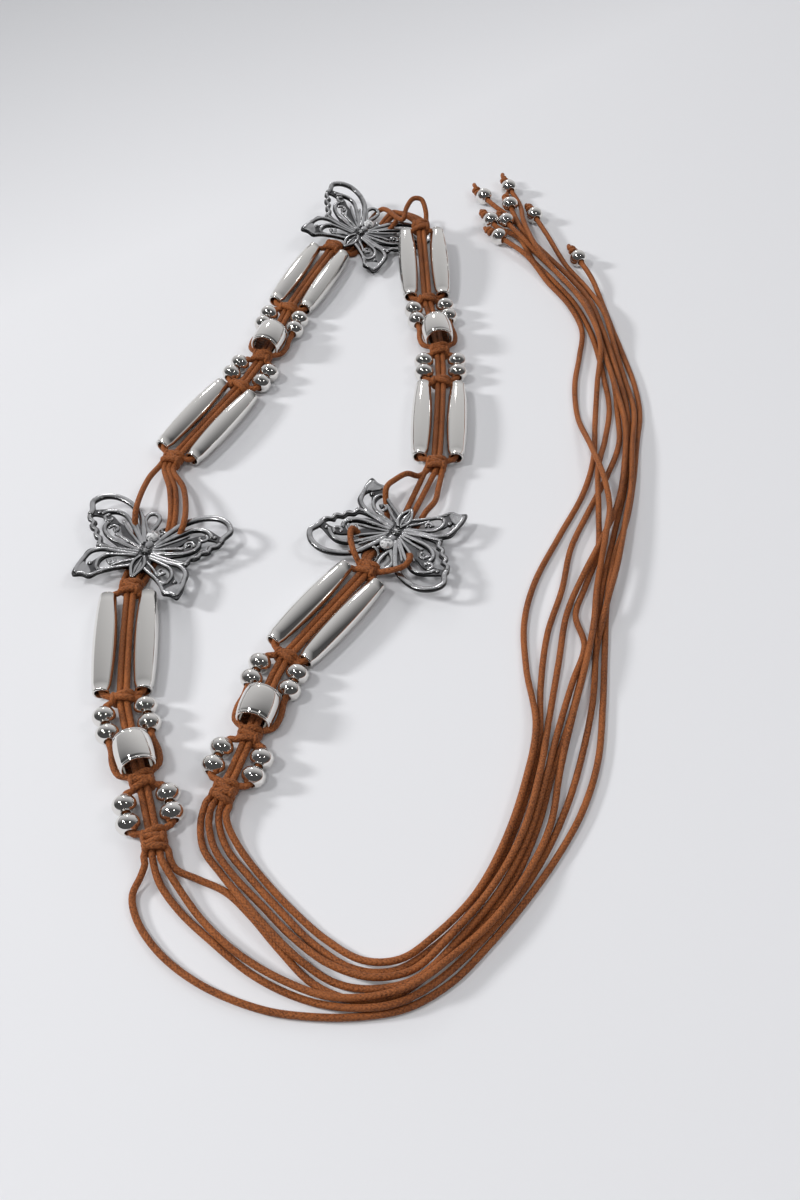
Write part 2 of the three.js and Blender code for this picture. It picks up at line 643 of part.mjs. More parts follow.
for (const [armName, { laid }] of Object.entries(laidArms)) {
  const count = {};
  for (const piece of laid) {
    const { kind, section } = piece;
    count[kind] = (count[kind] ?? 0) + 1;
    const sides = { left: 1, right: -1 };
    if (kind === 'tubes') {
      for (const [sideName, side] of Object.entries(sides)) {
        const mesh = add(`tube_bead_${armName}_${count[kind]}_${sideName}`, tubeGeometry(), nickelMaterial);
        placeOn(mesh, piece, side * tubeSpread, tubeBead.middle / 2 + 0.05);
      }
    } else if (kind === 'beads') {
      for (const [sideName, side] of Object.entries(sides)) {
        const mesh = add(`round_beads_${armName}_${count[kind]}_${sideName}`, roundPairGeometry(), nickelMaterial);
        placeOn(mesh, piece, side * beadSpread, cordHeight);
      }
    } else if (kind === 'barrel') {
      const mesh = add(`barrel_bead_${armName}_${section}`, barrelGeometry(), nickelMaterial);
      placeOn(mesh, piece, 0, barrelBead.middle / 2 + 0.05);
    }
  }
  for (const section of ['upper', 'lower']) {
    const pieces = laid.filter((piece) => piece.section === section);
    const ends = links.filter((link) => link.arm === armName && link.section === section);
    add(`cord_work_${armName}_${section}`, join([
      ...pieces.filter(isKnot).map(knotGeometry), ...sectionRuns(pieces), ...ends.flatMap(linkRuns),
    ]), cordMaterial);
  }
}

for (const [name, points] of Object.entries(laidCords)) {
  add(`tail_cord_${name}`, tailGeometry(points), cordMaterial);
  const last = points[points.length - 1];
  const back = points[points.length - 2].clone().sub(last).normalize();
  const bead = add(`end_bead_${name}`, endBeadGeometry(), nickelMaterial);
  bead.quaternion.setFromUnitVectors(new THREE.Vector3(0, 1, 0), back);
  bead.position.copy(last).addScaledVector(back, endKnot.halfLength + endKnot.fromBead + endHalf);
}

export default belt;
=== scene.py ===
"""Visual model of a knotted waxed-cord belt with metal beads and three openwork butterflies.

The CAD part gives every place and size. This script lays the same pieces by the same rule and gives
each of them its real look: spun beads, round cords with their knots, and cast butterflies.
Lengths in the tables are millimetres on the plan of the belt, and the finished meshes are metres.
"""

import logging
import math
from collections.abc import Callable, Iterable, Sequence
from dataclasses import dataclass, field
from enum import Enum

import bmesh
import bpy
from mathutils import Matrix, Vector


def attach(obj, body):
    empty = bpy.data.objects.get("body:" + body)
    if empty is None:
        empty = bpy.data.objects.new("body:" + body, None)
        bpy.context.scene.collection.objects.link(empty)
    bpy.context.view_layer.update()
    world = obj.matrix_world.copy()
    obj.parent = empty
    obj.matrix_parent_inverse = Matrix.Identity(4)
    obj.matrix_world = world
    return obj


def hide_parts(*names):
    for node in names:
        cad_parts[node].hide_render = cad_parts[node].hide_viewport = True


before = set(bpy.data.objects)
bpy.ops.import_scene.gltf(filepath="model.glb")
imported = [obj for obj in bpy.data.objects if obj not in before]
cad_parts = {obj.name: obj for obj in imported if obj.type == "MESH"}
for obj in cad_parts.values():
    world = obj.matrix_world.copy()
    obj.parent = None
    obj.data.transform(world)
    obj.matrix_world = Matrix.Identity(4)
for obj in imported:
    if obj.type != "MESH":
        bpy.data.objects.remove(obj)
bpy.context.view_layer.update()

LOG = logging.getLogger("belt")
MM = 0.001
# Middle of the beaded part's footprint on the plan, where the shared frame has its origin
LAYOUT_MIDDLE = Vector((1.75, -7.738, 0.0))
TO_FRAME = Matrix.Scale(MM, 4) @ Matrix.Translation(-LAYOUT_MIDDLE)
UP = Vector((0.0, 0.0, 1.0))

# Four cords side by side have the places 0 to 3
MIDDLE_PLACE = 1.5
# Places of the stones' and the web's materials on a butterfly
CRYSTAL_INDEX = 1
WEB_INDEX = 2

Row = tuple[float, ...]


class Slot(Enum):
    """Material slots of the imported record."""

    CORD = "cord"
    NICKEL = "nickel"
    SILVER = "antique_silver"


class Kind(Enum):
    """Pieces that follow one another along an arm, with their lengths."""

    OUTER_KNOT = 5.2
    TIGHT_KNOT = 2.6
    LONG_KNOT = 5.6
    LAST_KNOT = 7.4
    TUBES = 43.4
    BEADS = 14.487
    BARREL = 12.4

    @property
    def is_knot(self) -> bool:
        """Whether the piece is a knot."""
        return self.name.endswith("KNOT")


class Section(Enum):
    """The two beaded sections of an arm, on either side of its butterfly."""

    UPPER = "upper"
    LOWER = "lower"


class LinkStyle(Enum):
    """How the four cords of a link lie at their butterfly."""

    HEAD = "head"
    TAIL = "tail"
    BOWED_TAIL = "bowed tail"
    SHORT_HEAD = "short head"
    ARCH = "arch"


class BeadShape(Enum):
    """The spun beads, each made once."""

    TUBE = "tube"
    BARREL = "barrel"
    PAIR = "pair"
    END = "end"


class Level(Enum):
    """Heights at which a link cord passes a butterfly."""

    UNDER = "under"
    RING = "ring"
    OVER = "over"
    HIGH = "high"


# Sizes


@dataclass(frozen=True)
class CordSizes:
    """The cord, and how the side cords and knots stand about the middle of an arm."""

    radius: float = 1.15
    pitch: float = 2.6
    middle_height: float = 4.0
    table_height: float = 1.2
    knot_half_width: float = 4.1
    knot_half_height: float = 3.0
    knot_inset: float = 1.1
    tube_spread: float = 7.3
    bead_spread: float = 7.1
    bow_spread: float = 7.75
    rim_spread: float = 7.1
    piece_gap: float = 0.8
    barrel_gap: float = 1.8
    tail_gap: float = 1.0
    end_height: float = 3.6
    steepest: float = 0.2
    samples: int = 5


@dataclass(frozen=True)
class TubeBead:
    """A long spindle bead with a rolled collar at each end."""

    length: float = 43.4
    middle: float = 8.6
    end: float = 6.2
    bore: float = 4.3
    axis_height: float = 4.35
    collar: float = 0.42
    neck: float = 1.1
    neck_step: float = 0.05
    fullness: float = 2.1
    bore_inset: float = 1.2

    def profile(self) -> list[Row]:
        """Closed outline as (radius, height) rows.

        Returns:
            Rows from the lower collar over the outside to the upper one, then down the bore.
        """
        half, rim, roll = self.length / 2, self.end / 2, self.collar
        swell = self.middle / 2 - rim - self.neck_step
        rows = arc(rim - roll, -half + roll, roll, 200, 400, 9)
        for step in range(1, 20):
            height = -half + self.neck + (self.length - 2 * self.neck) * step / 20
            share = 1 - abs(height / half) ** self.fullness
            rows.append((rim + self.neck_step + swell * share, height))
        rows += arc(rim - roll, half - roll, roll, -40, 160, 9)
        inside = half - self.bore_inset
        return rows + [(self.bore / 2, inside), (self.bore / 2, -inside)]


@dataclass(frozen=True)
class BarrelBead:
    """A wide short bead with heavy rolled rims, open for the core cords."""

    length: float = 12.4
    middle: float = 13.6
    rim: float = 12.0
    bore: float = 9.8
    axis_height: float = 6.85
    roll: float = 0.55
    roll_proud: float = 0.1
    side_inset: float = 0.12
    fullness: float = 2.2
    least_swell: float = 0.15
    bore_flare: float = 0.25

    def profile(self) -> list[Row]:
        """Closed outline as (radius, height) rows.

        Returns:
            Rows round the lower rim, over the swelling side, round the upper rim and down the bore.
        """
        half, roll = self.length / 2, self.roll
        low = self.rim / 2 - roll + self.roll_proud
        swell, inside = (self.middle - self.rim) / 2, self.bore / 2 + self.bore_flare
        rows = arc(low, -half + roll, roll, 170, 395, 12)
        for step in range(0, 15):
            height = -half + 2 * roll + (self.length - 4 * roll) * step / 14
            share = (1 - abs(height / half) ** self.fullness + self.least_swell) / (1 + self.least_swell)
            rows.append((self.rim / 2 - self.side_inset + swell * share, height))
        rows += arc(low, half - roll, roll, -35, 190, 12)
        return rows + [(inside, half / 2), (inside, -half / 2)]


@dataclass(frozen=True)
class RoundBead:
    """A slightly flattened round bead with a bored hole."""

    diameter: float = 8.3
    thickness: float = 7.15
    bore: float = 3.2
    pitch: float = 7.2
    lip: float = 0.35
    lip_edge: Row = (0.12, 0.02)
    steps: int = 24

    def profile(self, middle: float = 0.0) -> list[Row]:
        """Closed outline as (radius, height) rows.

        Args:
            middle: Height of the bead's middle.

        Returns:
            Rows over the outside and down the bore, with small rounded hole rims.
        """
        radius, half = self.diameter / 2, self.thickness / 2
        start = math.acos((self.bore / 2 + self.lip) / radius)
        rows = []
        for step in range(self.steps + 1):
            angle = -start + 2 * start * step / self.steps
            rows.append((radius * math.cos(angle), middle + half * math.sin(angle)))
        top = half * math.sin(start)
        out, down = self.lip_edge
        rim = [(self.bore / 2 + out, top - down), (self.bore / 2, top - self.lip)]
        rows += [(r, middle + h) for r, h in rim]
        return rows + [(r, middle - h) for r, h in reversed(rim)]


def arc(radius: float, height: float, size: float, start: float, end: float, steps: int) -> list[Row]:
    """Rows of a circular arc in a profile.

    Args:
        radius: Distance of the arc's middle from the axis.
        height: Height of the arc's middle.
        size: Radius of the arc.
        start: First angle in degrees, from straight outwards.
        end: Last angle in degrees.
        steps: How many rows it has.

    Returns:
        The (radius, height) rows.
    """
    angles = [math.radians(start + (end - start) * i / (steps - 1)) for i in range(steps)]
    return [(radius + size * math.cos(a), height + size * math.sin(a)) for a in angles]


@dataclass(frozen=True)
class ButterflySizes:
    """Wings, cord ring, stones and flower of a butterfly."""

    thickness: float = 1.7
    middle: float = 3.7
    rise: float = 0.1
    web: float = 1.1
    corner: float = 1.4
    corner_rise: float = 0.25
    ball_rise: float = 0.1
    ring: Row = (3.9, 12.9, 3.05)
    ring_wire: float = 0.75
    ring_drop: float = 1.15
    ring_tilt: float = 35.0
    midrib: float = 0.36
    leaf_edge: Row = (0.5, 1.2)
    base_rise: float = 0.75
    head: float = 7.2
    collar: Row = (2.6, 2.4, 1.9)
    collar_drop: float = 0.4
    collar_wire: float = 0.3
    wire_rise: float = 0.5
    large_stone: Row = (2.5, 1.5)
    large_rise: float = 0.7
    small_stone: Row = (0.85, 0.6)
    small_rise: float = 1.0
    petals: int = 7
    petal: float = 0.5
    petal_reach: float = 1.35
    petal_rise: float = 0.85

    def height(self, x: float) -> float:
        """Height of the wing's middle plane at a distance from the body."""
        return self.middle + self.rise * abs(x)


CORD = CordSizes()
BUTTERFLY = ButterflySizes()

# Plan of the belt: each arm's links (from a butterfly's middle to the nearest knot) and guide route


@dataclass(frozen=True)
class ArmPlan:
    """One arm, from the top butterfly down to its end knot."""

    links: Row
    route: tuple[Row, ...]


@dataclass(frozen=True)
class TailPlan:
    """A free cord: its arm, its place in the end knot and its chosen plan points."""

    arm: str
    place: int
    route: tuple[Row, ...]


@dataclass(frozen=True)
class ButterflyPlan:
    """Where a butterfly's head points, how far it leans sideways, and its lift."""

    turn: float
    lean: float
    lift: float


@dataclass(frozen=True)
class Link:
    """Four cords between a knot and a butterfly."""

    arm: str
    section: Section
    first: bool
    butterfly: str
    style: LinkStyle


ARMS = {
    "left": ArmPlan((13.8, 47, 15.4), (
        (28.5, 139, 0), (19.8, 133, 0), (14.6, 125, 0), (6.5, 105.5, 0), (-1.3, 86, 0),
        (-3.9, 75, 0), (-8, 62, 0), (-14.8, 41, 0), (-20, 31, 0), (-30.7, 12, 0), (-41.3, -7, 0),
        (-46, -20, 0), (-48, -40, 0), (-47.6, -59.5, 0), (-50, -70, 0), (-51.3, -81, 0),
        (-49.4, -103, 0), (-47.3, -126, 0), (-44.3, -137, 0), (-39, -152, 0), (-32.7, -170, 0),
        (-29.5, -182, 0),
    )),
    "right": ArmPlan((56.8, 37.7, 18.4), (
        (28.5, 139, 0), (34, 150, 2), (43.5, 158.3, 4.6), (51.5, 160.6, 6), (55.6, 156.8, 6),
        (57, 148, 5.4), (57.7, 139, 5), (58.2, 131, 4.3), (59, 115, 2.4), (60, 91, 0.6),
        (61.7, 79, 0.15), (64.3, 66, 0), (65.6, 43, 0), (65.2, 33, 0), (64.3, 11.5, 0),
        (63.2, -10, 0), (60, -24, 0), (54, -38, 0), (46.4, -50.6, 0), (40, -62, 0),
        (33.5, -72.5, 0), (21.3, -88.6, 0), (9.7, -105.2, 0), (4.5, -116, 0), (0.2, -131, 0),
        (-4.6, -149, 0), (-8.6, -161, 0),
    )),
}

# Free cords in the order in which they are laid, each to its own small end knot
TAILS = {
    "right_3": TailPlan("right", 2, (
        (-10, -174.5), (-7, -182), (1, -192), (11, -203), (22, -214), (34, -221.5), (46, -222.2),
        (58, -215), (70, -203), (81, -184), (89, -164), (95, -142), (97, -120), (101, -97),
        (108, -76), (113, -56), (121, -38), (131, -17), (137.5, 1), (138.8, 20), (139.2, 40),
        (136.4, 66), (132.9, 87), (124.4, 107), (115.3, 123), (106.8, 138), (106.4, 147.5),
        (101.2, 155.9), (95.6, 160.6), (85.6, 175.9),
    )),
    "left_4": TailPlan("left", 3, (
        (-22, -190), (-15.5, -192.5), (-6, -197), (2, -204.5), (12, -216), (22, -226), (34, -231),
        (46, -230), (58, -222), (71, -210), (83, -194), (92, -175), (99, -153), (106, -134),
        (112, -114), (119, -92), (124, -71), (131, -46), (137, -24), (141, -2), (143, 20),
        (141, 40), (138.2, 64), (134, 89), (126.5, 108), (117, 124), (109, 137), (105, 147),
        (100, 169),
    )),
    "left_1": TailPlan("left", 0, (
        (-32.8, -192.5), (-34.8, -198), (-32.5, -206), (-24, -217), (-10, -227), (8, -234),
        (22, -236), (36, -236), (50, -233.5), (63, -226), (75, -214), (86, -201), (97, -186),
        (107, -169), (114, -150), (118, -127), (121, -104), (124, -82), (129, -61), (136, -41),
        (141, -20), (145, 2), (148, 18), (148, 34), (145.5, 53), (142, 75), (139.8, 90),
        (136, 106), (129, 127),
    )),
    "right_1": TailPlan("right", 0, (
        (-16, -174), (-14.5, -182), (-8, -191), (-1, -200), (8, -210), (18, -219.5), (29, -226),
        (41, -228.3), (53, -225.5), (66, -213), (79, -197), (89, -178), (96, -157), (102, -137),
        (108, -119), (113.5, -104), (112, -88), (117, -74), (123, -58), (125, -38), (127, -16),
        (132, 3), (135.6, 21), (135.3, 40), (132.8, 68), (127.3, 90), (119, 107), (109.8, 124),
        (105.5, 136), (101, 142.2), (95, 144.6), (88.5, 156.3),
    )),
    "right_2": TailPlan("right", 1, (
        (-13.2, -174), (-11, -182), (-4, -192), (6, -202), (15, -211.5), (27, -221), (40, -225.2),
        (52, -222.5), (64, -212), (77, -196), (87, -178), (94, -156), (99, -133), (104, -110),
        (109, -87), (116, -71), (125, -53), (133, -34), (138, -12), (140.6, 10), (138.6, 35),
        (136, 59), (132.2, 85), (124, 104), (115, 120.5), (105, 136), (96, 154.8),
    )),
    "left_2": TailPlan("left", 1, (
        (-27, -194), (-20, -203), (-9, -213), (5, -224), (20, -231), (34, -234), (47, -232.8),
        (59, -226), (71, -215), (83, -201), (94, -184), (103, -165), (110, -144), (115, -124),
        (118, -104), (123, -86), (129, -67), (134, -47), (139, -26), (142, -4), (145.5, 20),
        (144, 40), (141.3, 60), (139, 79), (133.5, 101), (125.5, 119), (118, 139), (110.9, 160.9),
    )),
    "right_4": TailPlan("right", 3, (
        (-7, -175), (-3, -182), (4, -191), (14, -202), (25, -212), (37, -219.5), (48, -219.5),
        (59, -211.5), (71, -199), (81, -181), (89, -159), (94, -137), (92.5, -112), (93, -92),
        (98, -73), (109, -50), (120, -28), (126, -9), (129, 14), (132, 36), (134.9, 58),
        (131.7, 79), (125.9, 96), (118, 112), (110.5, 129), (107, 148), (106.6, 163),
        (99.8, 184.2),
    )),
    "left_3": TailPlan("left", 2, (
        (-20, -197), (-12, -207), (0, -218), (14, -226), (27, -231), (40, -231), (52, -228),
        (64, -219), (76, -208), (87, -193), (96, -175), (101, -154), (106, -136), (112, -116),
        (117, -97), (121, -75), (126, -53), (129, -38), (128, -24), (125, -4), (122, 16),
        (122.5, 36), (126, 54), (128.7, 72), (124.3, 90), (116, 106.5), (107, 123.5),
        (90.6, 142.5),
    )),
}

UPPER = (
    Kind.OUTER_KNOT, Kind.TUBES, Kind.TIGHT_KNOT, Kind.BEADS, Kind.BARREL,
    Kind.LONG_KNOT, Kind.BEADS, Kind.TIGHT_KNOT, Kind.TUBES, Kind.OUTER_KNOT,
)
LOWER = (
    Kind.OUTER_KNOT, Kind.TUBES, Kind.TIGHT_KNOT, Kind.BEADS, Kind.BARREL,
    Kind.LONG_KNOT, Kind.BEADS, Kind.LAST_KNOT,
)
BUTTERFLIES = {
    "butterfly_top": ButterflyPlan(turn=-34, lean=10, lift=0.9),
    "butterfly_left": ButterflyPlan(turn=-16, lean=0, lift=0),
    "butterfly_right": ButterflyPlan(turn=152, lean=0, lift=0),
}
U, R, O, H = Level.UNDER, Level.RING, Level.OVER, Level.HIGH
LINK_ROWS = {
    LinkStyle.HEAD: (
        ((-3.9, 0.5, U), (-7.4, 7.3, U), (-9.9, 14.4, O), (-9.2, 18, O)),
        ((-1.3, 0.5, U), (3, 9.2, U), (3, 16, R)),
        ((1.3, 0.5, U), (4.8, 9.2, U), (4.8, 16, R)),
        ((3.9, 0.5, U), (7.4, 7.3, U), (9.9, 14.4, O), (9.2, 18, O)),
    ),
    LinkStyle.TAIL: tuple(((x, -0.1, U), (x, -11.5, U)) for x in (-3.9, -1.3, 1.3, 3.9)),
    LinkStyle.BOWED_TAIL: (
        ((-3.9, -0.1, U), (-4.4, -10, U), (-5, -15.5, R), (-5.6, -22, R), (-3.6, -29, R)),
        ((-1.3, -0.1, U), (-0.4, -11.5, U)),
        ((1.3, -0.1, U), (2.6, -11.5, U)),
        ((3.9, -0.1, U), (8.6, -9, U), (12.7, -16.2, O), (11.8, -21.8, O), (9.4, -27, O), (6, -31.5, R)),
    ),
    LinkStyle.SHORT_HEAD: (
        ((-3.9, 0.5, U), (-7.4, 5.4, U), (-11.9, 10.6, O), (-12.2, 15, O), (-9.6, 18.6, O)),
        ((-1.3, 0.5, U), (3, 9.2, U), (3, 15.6, R)),
        ((1.3, 0.5, U), (4.8, 9.2, U), (4.8, 15.6, R)),
        ((3.9, 0.5, U), (9, 5.8, U), (14.1, 8.6, O), (12.9, 12, O), (10.6, 15.2, O), (7.6, 18.4, O)),
    ),
    LinkStyle.ARCH: (
        ((-3.9, 0.5, U), (-4.4, 13.5, U), (-2.4, 21.5, R), (4, 25, H)),
        ((-1.3, 0.5, U), (3, 9.2, U), (3, 16, R), (4.6, 20, O)),
        ((1.3, 0.5, U), (4.8, 9.2, U), (4.8, 16, R), (7, 20, O)),
        ((3.9, 0.5, U), (7.4, 7.3, U), (9.9, 14.4, O), (7, 21, O)),
    ),
}
LINKS = (
    Link("left", Section.UPPER, True, "butterfly_top", LinkStyle.TAIL),
    Link("left", Section.UPPER, False, "butterfly_left", LinkStyle.HEAD),
    Link("left", Section.LOWER, True, "butterfly_left", LinkStyle.TAIL),
    Link("right", Section.UPPER, True, "butterfly_top", LinkStyle.ARCH),
    Link("right", Section.UPPER, False, "butterfly_right", LinkStyle.BOWED_TAIL),
    Link("right", Section.LOWER, True, "butterfly_right", LinkStyle.SHORT_HEAD),
)

# Curves


def span(p0: Vector, p1: Vector, p2: Vector, p3: Vector, share: float) -> Vector:
    """A point between p1 and p2 of a centripetal Catmull-Rom curve.

    Args:
        p0: Control point before the span.
        p1: Start of the span.
        p2: End of the span.
        p3: Control point after the span.
        share: Place in the span, from 0 to 1.

    Returns:
        The point.
    """
    d0, d1, d2 = (math.sqrt(max((b - a).length, 1e-8)) for a, b in ((p0, p1), (p1, p2), (p2, p3)))
    d1 = 1.0 if d1 < 1e-4 else d1
    d0, d2 = (d1 if d < 1e-4 else d for d in (d0, d2))
    leave = ((p1 - p0) / d0 - (p2 - p0) / (d0 + d1) + (p2 - p1) / d1) * d1
    arrive = ((p2 - p1) / d1 - (p3 - p1) / (d1 + d2) + (p3 - p2) / d2) * d1
    square, cube = share * share, share ** 3
    return (p1 + leave * share + (3 * (p2 - p1) - 2 * leave - arrive) * square
            + (2 * (p1 - p2) + leave + arrive) * cube)


def padded(points: Sequence[Vector]) -> list[Vector]:
    """The points with one more beyond each end."""
    return [2 * points[0] - points[1], *points, 2 * points[-1] - points[-2]]


def smooth(points: Sequence[Vector], spacing: float = 1.2) -> list[Vector]:
    """A smooth line through points.

    Args:
        points: Points that it passes.
        spacing: About how far apart the samples are.

    Returns:
        The samples, the first and last point among them.
    """
    ends = padded(points)
    made = [points[0].copy()]
    for i in range(len(points) - 1):
        steps = max(2, round((points[i + 1] - points[i]).length / spacing))
        made += [span(*ends[i:i + 4], step / steps) for step in range(1, steps + 1)]
    return made


def rounded(rows: Sequence[Row], steps: int = 5) -> list[Row]:
    """A closed plan outline with its corners rounded by a smooth line.

    Args:
        rows: The outline's points.
        steps: Samples between each two points.

    Returns:
        The samples as (x, y) rows.
    """
    points = [Vector((x, y, 0.0)) for x, y in rows]
    count = len(points)
    made = []
    for i in range(count):
        four = [points[(i + k) % count] for k in (-1, 0, 1, 2)]
        made += [span(*four, step / steps) for step in range(steps)]
    return [(point.x, point.y) for point in made]


def eased(value: float, power: float) -> float:
    """A value raised to a power, with its sign kept."""
    return math.copysign(abs(value) ** power, value)


def turned(along: Vector) -> Matrix:
    """The turn that takes an upright shape's axis to a direction."""
    return UP.rotation_difference(along).to_matrix().to_4x4()


def length_of(path: Sequence[Vector]) -> float:
    """Length of a line of points."""
    return sum((b - a).length for a, b in zip(path, path[1:]))


class Guide:
    """The line that an arm follows, read by distance along it."""

    DIVISIONS = 1200

    def __init__(self, route: Iterable[Row]) -> None:
        """Samples the guide.

        Args:
            route: Chosen plan points with their rise.
        """
        points = [Vector(row) for row in route]
        self.ends = padded(points)
        self.spans = len(points) - 1
        samples = [self.point(i / self.DIVISIONS) for i in range(self.DIVISIONS + 1)]
        self.stations = [0.0]
        for a, b in zip(samples, samples[1:]):
            self.stations.append(self.stations[-1] + (b - a).length)
        self.beyond = (samples[-1] - samples[-2]).normalized()

    def point(self, share: float) -> Vector:
        """Point at a share of the curve's own parameter.

        Args:
            share: Share of all spans, from 0 to 1.

        Returns:
            The point.
        """
        place = share * self.spans
        index = min(int(place), self.spans - 1)
        return span(*self.ends[index:index + 4], place - index)

    def at(self, station: float) -> Vector:
        """Point at a distance along the guide, which runs on straight beyond its end.

        Args:
            station: The distance from the guide's start.

        Returns:
            The point.
        """
        total = self.stations[-1]
        if station > total:
            return self.point(1.0) + self.beyond * (station - total)
        low, high = 0, self.DIVISIONS
        while high - low > 1:
            middle = (low + high) // 2
            low, high = (middle, high) if self.stations[middle] <= station else (low, middle)
        step = self.stations[high] - self.stations[low]
        return self.point((low + (station - self.stations[low]) / step) / self.DIVISIONS)


# Layout


@dataclass
class Piece:
    """A piece laid on an arm."""

    kind: Kind
    section: Section
    middle: Vector
    along: Vector
    across: Vector
    half: float
    before_barrel: bool = False

    def point(self, along: float, left: float, height: float = CORD.middle_height) -> Vector:
        """A point of the piece.

        Args:
            along: Distance along the arm from the piece's middle.
            left: Distance to the left of the arm's middle.
            height: Height over the table where the arm doesn't rise.

        Returns:
            The point on the plan.
        """
        return self.middle + self.along * along + self.across * left + UP * height


class Arm:
    """An arm's pieces, laid end to end along its guide."""

    def __init__(self, name: str, plan: ArmPlan) -> None:
        """Lays the arm.

        Args:
            name: The arm's name.
            plan: Its links and route.
        """
        self.name = name
        self.guide = Guide(plan.route)
        self.pieces: list[Piece] = []
        station = self.lay(UPPER, Section.UPPER, plan.links[0])
        station += plan.links[1] - CORD.piece_gap
        self.butterfly = self.guide.at(station)
        self.top = self.guide.at(0.0)
        self.lay(LOWER, Section.LOWER, station + plan.links[2])

    def lay(self, kinds: Iterable[Kind], section: Section, station: float) -> float:
        """Lays one section's pieces and returns the station after the last.

        Args:
            kinds: What follows what.
            section: The section.
            station: Where the first piece starts.

        Returns:
            The station where the next piece would start.
        """
        for kind in kinds:
            if kind is Kind.BARREL:
                station += CORD.barrel_gap - CORD.piece_gap
                self.pieces[-1].before_barrel = True
            start, end = self.guide.at(station), self.guide.at(station + kind.value)
            along = (end - start).normalized()
            across = Vector((-along.y, along.x, 0.0)).normalized()
            self.pieces.append(Piece(kind, section, (start + end) / 2, along, across, kind.value / 2))
            station += kind.value + CORD.piece_gap
        return station

    def pieces_of(self, section: Section) -> list[Piece]:
        """The pieces of one section."""
        return [piece for piece in self.pieces if piece.section is section]


class Layout:
    """Where everything lies: both arms, the butterflies' frames and the free cords."""

    def __init__(self) -> None:
        """Lays the whole belt."""
        self.arms = {name: Arm(name, plan) for name, plan in ARMS.items()}
        places = {
            "butterfly_top": self.arms["left"].top,
            "butterfly_left": self.arms["left"].butterfly,
            "butterfly_right": self.arms["right"].butterfly,
        }
        self.frames = {}
        for name, plan in BUTTERFLIES.items():
            place = Vector((places[name].x, places[name].y, plan.lift))
            self.frames[name] = (Matrix.Translation(place)
                                 @ Matrix.Rotation(math.radians(plan.turn), 4, "Z")
                                 @ Matrix.Rotation(math.radians(plan.lean), 4, "Y"))
        self.tails: dict[str, list[Vector]] = {}
        for name, tail in TAILS.items():
            self.tails[name] = self.lay_tail(tail)

    def tail_start(self, tail: TailPlan, along: float) -> Vector:
        """A point straight beyond the end knot, in a free cord's place."""
        last = self.arms[tail.arm].pieces[-1]
        return last.point(last.half + along, (tail.place - MIDDLE_PLACE) * CORD.pitch)

    def needed(self, x: float, y: float) -> float:
        """Height at which a cord clears the ones already laid at a plan point.

        Args:
            x: The point's x.
            y: The point's y.

        Returns:
            The height of the cord's middle, or 0 where nothing lies.
        """
        height = 0.0
        for path in self.tails.values():
            for a, b in zip(path, path[1:]):
                dx, dy = b.x - a.x, b.y - a.y
                share = ((x - a.x) * dx + (y - a.y) * dy) / (dx * dx + dy * dy)
                share = min(max(share, 0.0), 1.0)
                apart = math.hypot(a.x + share * dx - x, a.y + share * dy - y)
                if apart < CORD.pitch:
                    under = a.z + share * (b.z - a.z)
                    height = max(height, under + math.sqrt(CORD.pitch ** 2 - apart ** 2))
        return height

    def lay_tail(self, tail: TailPlan) -> list[Vector]:
        """Lays a free cord from its knot over the cords already there, in long low humps.

        Args:
            tail: The cord's plan.

        Returns:
            Its points, from just beyond the end knot to its small knot.
        """
        start = self.tail_start(tail, CORD.tail_gap)
        out = self.tail_start(tail, CORD.tail_gap + 2 * CORD.radius)
        plan = [(start.x, start.y), (out.x, out.y), *tail.route]
        steps = [math.dist(a, b) for a, b in zip(plan, plan[1:])]
        heights = [max(CORD.table_height, self.needed(x, y)) for x, y in plan]
        heights[0] = CORD.middle_height
        heights[1] = max(heights[1], CORD.middle_height - CORD.steepest * steps[0])
        for index in (-2, -1):
            heights[index] = max(heights[index], CORD.end_height)
        for i in range(len(steps)):
            for k in range(1, CORD.samples):
                share = k / CORD.samples
                x, y = (plan[i][axis] + share * (plan[i + 1][axis] - plan[i][axis]) for axis in (0, 1))
                short = self.needed(x, y) - (heights[i] + share * (heights[i + 1] - heights[i]))
                if short > 0:
                    heights[i] += short
                    heights[i + 1] += short
        for i in range(1, len(heights)):
            heights[i] = max(heights[i], heights[i - 1] - CORD.steepest * steps[i - 1])
        for i in range(len(heights) - 2, 0, -1):
            heights[i] = max(heights[i], heights[i + 1] - CORD.steepest * steps[i])
        return [Vector((x, y, z)) for (x, y), z in zip(plan, heights)]


# Mesh building


